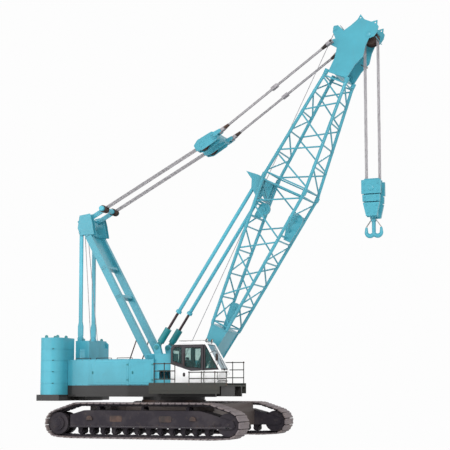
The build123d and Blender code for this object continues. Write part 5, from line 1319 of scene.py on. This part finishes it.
def walkway_brackets():
    """Tapered brackets under both platforms; the left platform is a tenth narrower."""
    right = np.array([(-1.56, 2.04), (-2.27, 2.04), (-2.27, 1.98), (-1.56, 1.80)])
    left = right * (-0.9, 1)
    return merged([plate(crane_end, outline, x - 0.01, x + 0.01)
                   for x in (0.25, 1.05, 1.85) for outline in (right, left)])


def fascia_bolts():
    """Two rows of bolts along each fascia."""
    spots = np.arange(0.0, 2.9, 0.36)
    parts = [bolt_heads(crane(spots, -2.3, z), -LEFT, 0.012, 0.009) for z in (1.79, 2.0)]
    spots = np.arange(0.75, 2.4, 0.36)
    parts += [bolt_heads(crane(spots, 2.06, z), LEFT, 0.012, 0.009) for z in (1.79, 2.0)]
    return merged(parts)


def rail_caps():
    """Ball caps on the posts and clamps where a bar crosses a post."""
    cap = [(0.021 * sin(t), 0.022 * cos(t) + 0.0005) for t in np.linspace(0.1, pi / 2, 5)]
    clamp = [(-0.03, 0.018), (-0.03, 0.027), (0.03, 0.027), (0.03, 0.018)]
    parts = []
    for y, posts, top in RAIL_POSTS:
        for x in posts:
            tip = crane(x, y, DECK_Z + top)
            parts.append(lathe(tip, UP, [(-0.02, POLE), (-0.02, 0.021), *cap], 12))
            parts.append(lathe(tip - UP * 0.02, AHEAD, clamp, 12, ring=True))
    return merged(parts)


def deck_fittings():
    """Hand-sized fittings on the open deck between the houses: valve blocks, pipes and their clamps."""
    parts = []
    for x in (-3.0, -1.2, -0.4):
        parts.append(soft_block(crane(x, 0.72, 2.18), (0.16, 0.09, 0.1), power=8.0))
    for y in (-0.3, -0.22, -0.14):
        parts.append(bent([crane(-3.2, y, 2.1), crane(-3.0, y, 2.15), crane(-0.9, y, 2.15),
                           crane(-0.7, y, 2.1)], 0.018, 8, 5))
    for x in (-2.8, -2.2, -1.2):
        parts.append(box_at(x - 0.02, x + 0.02, -0.34, -0.1, 2.078, 2.175))
    return merged(parts)


# ---------------------------------------------------------------- winches
# x, z, drum radius, rope half width, inner face of the carrying plates
WINCHES = ((0.33, 2.56, 0.23, 0.4, 0.47), (-1.95, 2.56, 0.23, 0.4, 0.47), (-3.83, 2.70, 0.18, 0.78, 0.85))


def make_winches(sizes):
    """Wound rope on each drum, and the gear cases, brakes and bolts outside the plates."""
    wound = [rope_layer(crane(x, 0, z), radius, half - 0.002, sizes.rope * 2.1)
             for x, z, radius, half, _ in WINCHES]
    piece("wound_rope", merged(wound), "upperstructure", "rope", sharp=80)
    gears = []
    for x, z, radius, _, inner in WINCHES[:2]:
        for side in (1, -1):
            face = crane(x, side * (inner + 0.05), z)
            out = LEFT * side
            size = 0.17 if side > 0 else 0.13
            profile = [(0, POLE), (0, size + 0.03), (0.02, size + 0.03), (0.024, size), (0.16, size * 0.92),
                       (0.18, size * 0.7), (0.27, size * 0.62), (0.28, POLE)]
            gears.append(lathe(face, out, profile, 32))
            gears.append(bolt_circle(face + out * 0.02, out, size + 0.016, 14, 0.009, 0.009))
    x, z, _, _, inner = WINCHES[2]
    cap = [(0, POLE), (0, 0.14), (0.018, 0.14), (0.02, 0.08), (0.028, POLE)]
    for side in (1, -1):
        face = crane(x, side * (inner + 0.05), z)
        gears.append(lathe(face, LEFT * side, cap, 28))
        gears.append(bolt_circle(face + LEFT * side * 0.018, LEFT * side, 0.115, 10, 0.009, 0.008))
    piece("winch_gear_cases", merged(gears), "upperstructure", "teal_dark", sharp=40)


# ---------------------------------------------------------------- gantry
PEAK = (-4.128, 9.166)
REAR_DRUM = (-3.83, 2.70, 0.205)


def make_gantry(sizes):
    """Peak wheels, the luffing rope down to the tail drum, pins with their keepers and the ties' bolts."""
    x, z = PEAK[0] + 0.12, PEAK[1] - 0.32
    wheels = [rope_wheel(crane(x, y, z), LEFT, 0.21, 0.028, 0.045, groove=0.024) for y in (-0.12, 0.12)]
    wheels.append(straight(crane(x, -0.5, z), crane(x, 0.5, z), 0.045, 16))
    piece("peak_wheels", merged(wheels), "upperstructure", "dark_steel", sharp=30)
    drum_x, drum_z, drum_radius = REAR_DRUM
    falls = [rope(crane(x - 0.19, y, z), crane(drum_x + drum_radius, y * 3.0, drum_z), sizes.rope)
             for y in (-0.12, 0.12)]
    piece("luffing_rope", merged(falls), "upperstructure", "rope", sharp=80)
    pins = []
    for face in (0.455, 0.705):
        for x, z, radius in ((-0.683, 2.9, 0.07), (-0.5, 3.65, 0.06)):
            for side in (1, -1):
                centre = crane(x, side * face, z)
                pins.append(disc(centre, LEFT * side, radius + 0.03, -0.01, 0.02, 0.024, 24))
    for x, z in ((-4.11, 8.6), (-4.091, 4.07)):
        for side in (1, -1):
            pins.append(bolt_circle(crane(x, side * 0.742, z), LEFT * side, 0.05, 4, 0.01, 0.012))
    piece("gantry_pins", merged(pins), "upperstructure", "teal_dark", sharp=40)
    piece("gantry_bolts", gantry_bolts(), "upperstructure", "dark_steel")


def gantry_bolts():
    """Bolted flanges where the cross ties meet the legs: heads on the legs' outer faces."""
    spots = np.array([(tie + u, v) for tie in (3.37, 4.8, 6.45) for u in (-0.11, -0.02)
                      for v in (-0.085, -0.03, 0.03, 0.085)])
    return merged([bolt_heads(GANTRY.at(spots[:, 0], spots[:, 1], side * 0.7), LEFT * side, 0.014, 0.012)
                   for side in (1, -1)])


# ---------------------------------------------------------------- stays
# along the stays' line: both ends of the ropes, then the wheels of the spreader and of the bail
STAY_START, STAY_END, SPREADER_WHEEL, BAIL_WHEEL = 0.975, 5.695, 0.86, 6.03
STAY_ROWS = (-0.62, -0.54, -0.46, -0.38, -0.30, 0.30, 0.38, 0.46, 0.54, 0.62)


def make_stays(sizes):
    """Laid ropes between the spreader and the bail, their wheels, and the bridging pendants' sockets."""
    falls = [rope(STAY.at(STAY_START, 0, y), STAY.at(STAY_END, 0, y), sizes.rope) for y in STAY_ROWS]
    made = piece("stay_rope", merged(falls), None, "rope", sharp=80)
    STAY.at(STAY_START, 0, 0).tolist()
    STAY.at(STAY_END, 0, 0).tolist()
    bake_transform(made)
    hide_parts("stay_ropes")
    wheels = [rope_wheel(STAY.at(SPREADER_WHEEL, 0, y), LEFT, 0.15, 0.026, 0.05, groove=0.02)
              for y in STAY_ROWS]
    piece("spreader_wheels", merged(wheels), "spreader", "dark_steel", sharp=30)
    wheels = [rope_wheel(STAY.at(BAIL_WHEEL, 0, y), LEFT, 0.215, 0.026, 0.05, groove=0.02)
              for y in STAY_ROWS]
    piece("bail_wheels", merged(wheels), "bail", "dark_steel", sharp=30)
    bolts = [bolt_circle(STAY.at(BAIL_WHEEL, 0, side * 0.66), LEFT * side, 0.1, 8, 0.012, 0.012)
             for side in (1, -1)]
    piece("bail_bolts", merged(bolts), "bail", "teal_dark")
    piece("pendant_sockets", pendant_sockets(), "pendants", "dark_steel", sharp=40)


HEAD_EYE = BOOM.at(14.42, -0.8, 0)
PENDANT_REACH = (float(HEAD_EYE[0]) - SWING_X - BAIL_PIN[0], float(HEAD_EYE[2]) - BAIL_PIN[1])
PENDANT_LENGTH = hypot(*PENDANT_REACH)
PENDANT = Line(*BAIL_PIN, degrees(atan2(PENDANT_REACH[1], PENDANT_REACH[0])))


def pendant_sockets():
    """Spelter sockets where the bridging ropes enter their link plates: turned cones with a collar."""
    cone = [(0, POLE), (0, 0.05), (0.05, 0.052), (0.19, 0.034), (0.21, 0.036), (0.23, 0.034), (0.23, POLE)]
    parts = []
    for y in (-0.78, -0.64, 0.64, 0.78):
        for u, way in ((0.225, 1), (PENDANT_LENGTH - 0.225, -1)):
            parts.append(lathe(PENDANT.at(u, 0, y), PENDANT.along * way, cone, 16))
    for side in (1, -1):
        for u in (0.0, PENDANT_LENGTH):
            parts.append(disc(PENDANT.at(u, 0, side * 0.84), LEFT * side, 0.05, -0.02, 0.0, 0.004, 16))
    return merged(parts)


# ---------------------------------------------------------------- boom
STATIONS = ((2.3, -0.345, 0.365, 0.735), (8.49, -0.938, 0.945, 0.905), (13.35, -0.518, 0.405, 0.517))
HEAD_SHAFT = (15.23, 0.44)
FALL_ROWS = (-0.2, -0.067, 0.067, 0.2)
GUIDE_WHEEL = (14.99, -0.92)
SECTION_PINS = (8.49, 13.28)
COLLARS = (2.3, 3.33, 4.33, 5.33, 6.33, 7.33, 8.33, 8.65, 9.59, 10.52, 11.45, 12.37, 13.12)
# face (rear, front) and side (right, left) of each chord
CHORDS = ((-1, -1), (-1, 1), (1, -1), (1, 1))
HOIST_DRUM = (0.33, 2.56, 0.25)


def chord(u, face, side):
    """A chord's middle at u along the boom, by straight lines between the stations."""
    stations = np.array(STATIONS)
    back, front, half = (np.interp(u, stations[:, 0], stations[:, column]) for column in (1, 2, 3))
    return BOOM.at(u, back if face < 0 else front, side * half)


def make_boom(sizes):
    """Section pins, weld collars, grooved head wheels, rope guards, the head lamp and the hoist rope."""
    pins, collars = [], []
    for u in SECTION_PINS:
        for face, side in CHORDS:
            spot = chord(u, face, side)
            pins.append(straight(spot - LEFT * 0.11, spot + LEFT * 0.11, 0.035, 14))
            pins.append(disc(spot + LEFT * side * 0.1, LEFT * side, 0.05, -0.005, 0.014, 0.016, 14))
    band = [(-0.05, 0.06), (-0.045, 0.071), (0.045, 0.071), (0.05, 0.06)]
    for u in COLLARS:
        for face, side in CHORDS:
            spot = chord(u, face, side)
            collars.append(lathe(spot, unit(chord(u + 0.1, face, side) - spot), band, 20, ring=True))
    piece("section_pins", merged(pins), "boom", "teal_boom", sharp=40)
    piece("chord_collars", merged(collars), "boom", "teal_boom", sharp=50)
    wheels = [rope_wheel(BOOM.at(*HEAD_SHAFT, y), LEFT, 0.305, 0.031, 0.07, 48, 0.026) for y in FALL_ROWS]
    wheels.append(rope_wheel(BOOM.at(*GUIDE_WHEEL, 0), LEFT, 0.205, 0.031, 0.05, 40, 0.026))
    for (u, v), radius in ((HEAD_SHAFT, 0.07), (GUIDE_WHEEL, 0.05)):
        wheels.append(straight(BOOM.at(u, v, -0.527), BOOM.at(u, v, 0.527), radius, 20))
    made = piece("head_wheels", merged(wheels), "boom", "dark_steel", sharp=30)
    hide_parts("head_sheaves")
    piece("head_pin_caps", head_caps(), "boom", "teal_boom", sharp=40)
    piece("rope_guards", rope_guards(), "boom", "teal_boom", sharp=40)
    lamp, aim = BOOM.at(14.1, 0.66, 0.3), unit(np.array([0.35, 0, -1.0]))
    bracket = straight(lamp, lamp - aim * 0.1 - BOOM.front * 0.18, 0.016, 8)
    piece("head_lamp", merged([lamp_body(lamp, aim, 0.09), bracket]), "boom", "dark_steel", sharp=50)
    piece("head_lamp_face", lamp_face(lamp, aim, 0.09), "boom", "lamp", sharp=50)
    foot = [disc(BOOM.at(0, 0, side * 0.8), LEFT * side, 0.11, -0.01, 0.025, 0.03, 24) for side in (1, -1)]
    foot += [bolt_circle(BOOM.at(0, 0, side * 0.825), LEFT * side, 0.085, 6, 0.012, 0.01)
             for side in (1, -1)]
    piece("foot_pin_caps", merged(foot), "boom", "dark_steel", sharp=40)
    line = rope(hoist_rope_start(), hoist_rope_end(), sizes.rope)
    made = piece("hoist_rope", line, None, "rope", sharp=80)
    hoist_rope_start().tolist()
    BOOM.at(2.2, -0.2, 0).tolist()
    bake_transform(made)
    piece("head_rope", rope_over_head(sizes), "boom", "rope", sharp=80)


def hoist_rope_start():
    """Where the hoist rope leaves its drum, on the side towards the boom."""
    x, z, radius = HOIST_DRUM
    return crane(x - radius * 0.3, 0.0, z + radius)


def hoist_rope_end():
    """Where the hoist rope meets the rear guide wheel at the boom's head."""
    return BOOM.at(GUIDE_WHEEL[0] - 0.03, GUIDE_WHEEL[1] - 0.19, 0)


def rope_over_head(sizes):
    """The rope's way round the guide wheel and on to the first head wheel."""
    turn = np.linspace(pi * 1.5 - 0.15, pi * 2 + 0.75, 14)
    u, v = GUIDE_WHEEL
    around = BOOM.at(u + 0.19 * np.cos(turn), v + 0.19 * np.sin(turn), 0)
    last = BOOM.at(HEAD_SHAFT[0] + 0.25, HEAD_SHAFT[1] - 0.12, -0.067)
    return tube(np.concatenate([around, last[None]]), sizes.rope, 10)


def head_caps():
    """Keeper plates and bolts on the head's shafts."""
    parts = []
    for u, v, radius in ((*HEAD_SHAFT, 0.12), (*GUIDE_WHEEL, 0.09)):
        for side in (1, -1):
            centre = BOOM.at(u, v, side * 0.577)
            profile = [(-0.004, POLE), (-0.004, radius), (0.016, radius), (0.02, radius * 0.6),
                       (0.03, radius * 0.5), (0.032, POLE)]
            parts.append(lathe(centre, LEFT * side, profile, 28))
            bolts = centre + LEFT * side * 0.016
            parts.append(bolt_circle(bolts, LEFT * side, radius * 0.8, 8, 0.01, 0.009))
    return merged(parts)


def rope_guards():
    """Bars that keep the ropes in the head wheels' grooves."""
    parts = []
    for turn in (0.35, 1.5):
        u, v = HEAD_SHAFT[0] + 0.335 * cos(turn), HEAD_SHAFT[1] + 0.335 * sin(turn)
        parts.append(straight(BOOM.at(u, v, -0.53), BOOM.at(u, v, 0.53), 0.014, 8))
    u, v = GUIDE_WHEEL[0] + 0.23, GUIDE_WHEEL[1] + 0.04
    parts.append(straight(BOOM.at(u, v, -0.3), BOOM.at(u, v, 0.3), 0.014, 8))
    return merged(parts)


# ---------------------------------------------------------------- hoist
HORN_Z, HORN_RING = 8.08, 0.15
BLOCK_WHEEL_Z = 9.78


def make_hoist(sizes):
    """Laid falls, the block's wheels, bolts and pins, and the hook with its nut and latches."""
    x, top = HEAD
    falls = [rope(crane(x + reach, y, BLOCK_WHEEL_Z), crane(x + reach, y, top), sizes.rope)
             for y in FALL_ROWS for reach in (-0.266, 0.266)]
    made = piece("hoist_rope_falls", merged(falls), None, "rope", sharp=80)
    low, high = crane(x, 0, BLOCK_WHEEL_Z + 0.3), crane(x, 0, top - 0.3)
    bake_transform(made)
    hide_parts("hoist_falls")
    bolts = []
    cap = [(-0.005, POLE), (-0.005, 0.11), (0.02, 0.11), (0.03, 0.09), (0.034, POLE)]
    for side in (1, -1):
        face, out = side * 0.44, LEFT * side
        for z, reach in ((9.95, 0.27), (9.68, 0.27), (9.42, 0.24), (9.28, 0.24), (9.08, 0.2), (8.8, 0.13)):
            bolts.append(bolt_heads(crane(np.array([x - reach, x + reach]), face, z), out, 0.03, 0.024))
        bolts.append(lathe(crane(x, face, BLOCK_WHEEL_Z), out, cap, 28))
        bolts.append(bolt_circle(crane(x, face + side * 0.02, BLOCK_WHEEL_Z), out, 0.085, 6, 0.012, 0.01))
        bolts.append(disc(crane(x, side * 0.3, 8.8), out, 0.075, -0.005, 0.03, 0.034, 20))
    piece("block_bolts", merged(bolts), "hook_block", "teal_boom", sharp=40)
    wheels = [rope_wheel(crane(x, y, BLOCK_WHEEL_Z), LEFT, 0.292, 0.031, 0.06, 44, 0.026) for y in FALL_ROWS]
    piece("block_wheels", merged(wheels), "hook_block", "dark_steel", sharp=30)
    piece("hook_latches", hook_latches(x), "hook", "bright_steel", sharp=50)
    made = piece("double_hook", double_hook(x), "hook", "teal_boom", sharp=50)
    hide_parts("hook")
    nut = lathe(crane(x, 0, 8.94), UP, [(0, 0.08), (0, 0.118), (0.05, 0.118), (0.06, 0.108), (0.06, 0.08)],
                8, ring=True)
    collar = lathe(crane(x, 0, 8.5), UP, [(0, 0.079), (0, 0.1), (0.03, 0.105), (0.1, 0.105), (0.12, 0.079)],
                   28, ring=True)
    piece("hook_nut", merged([nut, collar]), "hook", "teal_boom", sharp=30)


def double_hook(x):
    """The forged hook: a shank with its shoulder, and two half rings that thin into raised tips."""
    shank = [(-0.02, POLE), (-0.02, 0.07), (0.03, 0.078), (0.82, 0.078), (0.82, 0.12), (0.89, 0.12),
             (0.89, POLE)]
    parts = [lathe(crane(x, 0, HORN_Z), UP, shank, 28)]
    for side in (-1, 1):
        turn = np.linspace(0, pi, 25)
        around = crane(x + side * HORN_RING * (1 - np.cos(turn)), 0, HORN_Z - HORN_RING * np.sin(turn))
        rise = np.linspace(0.02, 0.19, 7)[:, None]
        lean = -0.25 * rise ** 2 * side * AHEAD
        path = np.concatenate([around, around[-1] + rise * UP + lean,
                               (around[-1] + 0.197 * UP - 0.01 * side * AHEAD)[None]])
        thick = np.concatenate([0.07 + 0.02 * np.sin(turn), 0.07 - 0.13 * rise[:, 0], [0.02]])
        parts.append(tube(path, thick, 20))
    return merged(parts)


def hook_latches(x):
    """Sprung latches from the shank to each horn's tip: two side straps, a cross plate and a pin."""
    parts = []
    for side in (-1, 1):
        root, tip = np.array([x + side * 0.1, 8.56]), np.array([x + side * 0.31, 8.27])
        for y in (-0.05, 0.05):
            parts.append(tube(crane(np.array([root[0], tip[0]]), y, np.array([root[1], tip[1]])), 0.012, 6))
        middle = (root + tip) / 2
        way = unit(np.array([tip[0] - root[0], 0, tip[1] - root[1]]))
        parts.append(soft_block(crane(middle[0], 0, middle[1]), (0.15, 0.045, 0.006),
                                (way, LEFT, np.cross(way, LEFT))))
        parts.append(straight(crane(root[0], -0.07, root[1]), crane(root[0], 0.07, root[1]), 0.018, 10))
    return merged(parts)


# ---------------------------------------------------------------- stage
def backdrop_finish(name, colour):
    """A floor that is plain white to the camera, in glass and in metal, and matt to every light."""
    f = Finish(name)
    plain = f.add("ShaderNodeEmission", None, {"Color": colour, "Strength": 1.0})
    matt = f.add("ShaderNodeBsdfDiffuse", None, {"Color": colour})
    f.add_output(f.add("ShaderNodeMixShader", None, {0: f.plain_rays(), 1: matt, 2: plain}))
    return f.material


def make_stage(sizes):
    """The floor, the soft lights, the pale world and the camera."""
    floor = bpy.data.meshes.new("floor")
    reach = 400.0
    floor.from_pydata([(-reach, -reach, 0), (reach, -reach, 0), (reach, reach, 0), (-reach, reach, 0)], [],
                      [(0, 1, 2, 3)])
    floor.materials.append(backdrop_finish("floor paint", shade(253, 253, 253)))
    ground = bpy.data.objects.new("floor", floor)
    bpy.context.scene.collection.objects.link(ground)
    lights = (
        # name, place, aim, width, power
        ("key", (22, -36, 26), (1, 0, 3), 18, 9300),
        ("fill", (-30, -32, 12), (0, 0, 3), 24, 5500),
        ("rim", (-16, 34, 30), (0, 0, 7), 18, 3800),
    )
    for name, place, aim, width, power in lights:
        data = bpy.data.lights.new(name, "AREA")
        data.size, data.energy, data.shape = width, power, "SQUARE"
        lamp = bpy.data.objects.new(name, data)
        lamp.location = place
        lamp.rotation_euler = (Vector(aim) - Vector(place)).to_track_quat("-Z", "Y").to_euler()
        bpy.context.scene.collection.objects.link(lamp)
    make_world(shade(253, 253, 253), sizes.sky)
    make_camera()


def make_world(colour, strength):
    """A pale world: full white behind the crane and in its reflections, and softer as a light."""
    world = bpy.data.worlds.new("pale room")
    bpy.context.scene.world = world
    world.use_nodes = True
    nodes = Nodes(world.node_tree)
    level = nodes.add("ShaderNodeMapRange", None,
                      {"Value": nodes.plain_rays(), "To Min": strength, "To Max": 1.0})
    light = nodes.add("ShaderNodeBackground", None, {"Color": colour, "Strength": level})
    nodes.add_output(light, "ShaderNodeOutputWorld")


CAMERA = dict(place=(17.935, -41.489, 1.952), turn=0.3611, pitch=0.101, lens=86.462, shift=0.12)


def make_camera():
    """A long lens low down, ahead of the crane and to its right, looking a little up."""
    data = bpy.data.cameras.new("view")
    data.lens, data.shift_y, data.sensor_width = CAMERA["lens"], CAMERA["shift"], 36.0
    data.clip_start, data.clip_end = 0.5, 1000.0
    view = bpy.data.objects.new("view", data)
    view.location = crane(*CAMERA["place"])
    view.rotation_euler = (pi / 2 + CAMERA["pitch"], 0, CAMERA["turn"])
    bpy.context.scene.collection.objects.link(view)
    bpy.context.scene.camera = view


# ---------------------------------------------------------------- settings and operators
class CranePaint(bpy.types.PropertyGroup):
    """Colours of the crane."""

    paint: FloatVectorProperty(name="Paint",
                               description="Colour of the boom, gantry, houses and counterweight",
                               subtype="COLOR", size=3, min=0, max=1, default=TEAL[:3])
    dirt: FloatProperty(name="Dirt", description="How far rain streaks and stains cover the paint",
                        subtype="FACTOR", min=0, max=1, default=0.45)


class CraneSizes(bpy.types.PropertyGroup):
    """Sizes of the fittings."""

    rope: FloatProperty(name="Rope radius", description="Radius of the hoist and stay ropes",
                        subtype="DISTANCE", unit="LENGTH", min=0.004, max=0.03, default=0.014)
    rail: FloatProperty(name="Rail radius", description="Radius of the hand rails' tube",
                        subtype="DISTANCE", unit="LENGTH", min=0.008, max=0.04, default=0.02)
    groove: FloatProperty(name="Shoe groove", description="Depth of the groove between a shoe's two bars",
                          subtype="DISTANCE", unit="LENGTH", min=0.0, max=0.03, default=0.014)
    sky: FloatProperty(name="Room light", description="Strength of the light that comes from all round",
                       min=0, max=2, default=0.63)


class CRANE_OT_finishes(bpy.types.Operator):
    """Make every finish and give each solid its own"""

    bl_idname = "crane.finishes"
    bl_label = "Finishes"

    def execute(self, context):
        make_finishes(context.scene.crane_paint)
        for name, node in frame["nodes"].items():
            for slot in node.material_slots:
                slot.material = finish_of(name)
        return {"FINISHED"}


class CRANE_OT_crawlers(bpy.types.Operator):
    """Add the shoes, link chains, covers and bolts of both crawlers"""

    bl_idname = "crane.crawlers"
    bl_label = "Crawlers"

    def execute(self, context):
        make_crawlers(context.scene.crane_sizes)
        return {"FINISHED"}


class CRANE_OT_counterweight(bpy.types.Operator):
    """Add the lugs, notches and tie bars of the counterweight"""

    bl_idname = "crane.counterweight"
    bl_label = "Counterweight"

    def execute(self, context):
        make_counterweight()
        return {"FINISHED"}


class CRANE_OT_houses(bpy.types.Operator):
    """Add the doors' fittings, the hood's louvres, the roof rails and hatches, bolts and pipes"""

    bl_idname = "crane.houses"
    bl_label = "Engine houses"

    def execute(self, context):
        make_houses(context.scene.crane_sizes)
        return {"FINISHED"}


class CRANE_OT_cab(bpy.types.Operator):
    """Add the cab's seals, pillars, lamps, mirror and hand bars"""

    bl_idname = "crane.cab"
    bl_label = "Cab"

    def execute(self, context):
        make_cab(context.scene.crane_sizes)
        return {"FINISHED"}


class CRANE_OT_cab_inside(bpy.types.Operator):
    """Add the seat's pads, consoles, levers and pedals"""

    bl_idname = "crane.cab_inside"
    bl_label = "Cab inside"

    def execute(self, context):
        make_cab_inside()
        return {"FINISHED"}


class CRANE_OT_walkways(bpy.types.Operator):
    """Add the sockets, caps, boards, brackets and bolts of the walkways, and the deck's fittings"""

    bl_idname = "crane.walkways"
    bl_label = "Walkways"

    def execute(self, context):
        make_walkways()
        return {"FINISHED"}


class CRANE_OT_winches(bpy.types.Operator):
    """Add the wound rope and the gear cases of the winches"""

    bl_idname = "crane.winches"
    bl_label = "Winches"

    def execute(self, context):
        make_winches(context.scene.crane_sizes)
        return {"FINISHED"}


class CRANE_OT_gantry(bpy.types.Operator):
    """Add the gantry's wheels, luffing rope, pins and bolts"""

    bl_idname = "crane.gantry"
    bl_label = "Gantry"

    def execute(self, context):
        make_gantry(context.scene.crane_sizes)
        return {"FINISHED"}


class CRANE_OT_stays(bpy.types.Operator):
    """Add the stay ropes, their wheels and the pendants' sockets"""

    bl_idname = "crane.stays"
    bl_label = "Stays"

    def execute(self, context):
        make_stays(context.scene.crane_sizes)
        return {"FINISHED"}


class CRANE_OT_boom(bpy.types.Operator):
    """Add the boom's pins, collars, head wheels, guards, lamp and hoist rope"""

    bl_idname = "crane.boom"
    bl_label = "Boom"

    def execute(self, context):
        make_boom(context.scene.crane_sizes)
        return {"FINISHED"}


class CRANE_OT_hoist(bpy.types.Operator):
    """Add the falls, the block's wheels and bolts, the hook, its nut and its latches"""

    bl_idname = "crane.hoist"
    bl_label = "Hoist"

    def execute(self, context):
        make_hoist(context.scene.crane_sizes)
        return {"FINISHED"}


class CRANE_OT_stage(bpy.types.Operator):
    """Add the floor, the lights, the world and the camera"""

    bl_idname = "crane.stage"
    bl_label = "Stage"

    def execute(self, context):
        make_stage(context.scene.crane_sizes)
        return {"FINISHED"}


OPERATORS = (CRANE_OT_finishes, CRANE_OT_crawlers, CRANE_OT_counterweight, CRANE_OT_houses, CRANE_OT_cab,
             CRANE_OT_cab_inside, CRANE_OT_walkways, CRANE_OT_winches, CRANE_OT_gantry, CRANE_OT_stays,
             CRANE_OT_boom, CRANE_OT_hoist, CRANE_OT_stage)


class CRANE_PT_dressing(bpy.types.Panel):
    """The crane's settings and its operators"""

    bl_idname = "CRANE_PT_dressing"
    bl_label = "Crawler crane"
    bl_space_type = "VIEW_3D"
    bl_region_type = "UI"
    bl_category = "Crane"

    def draw(self, context):
        scene = context.scene
        for name in ("paint", "dirt"):
            self.layout.prop(scene.crane_paint, name)
        for name in ("rope", "rail", "groove", "sky"):
            self.layout.prop(scene.crane_sizes, name)
        for operator in OPERATORS:
            self.layout.operator(operator.bl_idname)


CLASSES = (CranePaint, CraneSizes, *OPERATORS, CRANE_PT_dressing)


def register():
    """Registers the classes and hangs the settings on the scene."""
    for item in CLASSES:
        bpy.utils.register_class(item)
    bpy.types.Scene.crane_paint = PointerProperty(type=CranePaint)
    bpy.types.Scene.crane_sizes = PointerProperty(type=CraneSizes)


def unregister():
    """Takes back what register does, in reverse."""
    del bpy.types.Scene.crane_sizes
    del bpy.types.Scene.crane_paint
    for item in reversed(CLASSES):
        bpy.utils.unregister_class(item)


def main():
    """Registers the add-on and runs its operators in order."""
    register()
    bpy.context.scene.view_settings.view_transform = "Standard"
    for operator in OPERATORS:
        getattr(bpy.ops.crane, operator.bl_idname.split(".")[1])()


if __name__ == "__main__":
    main()
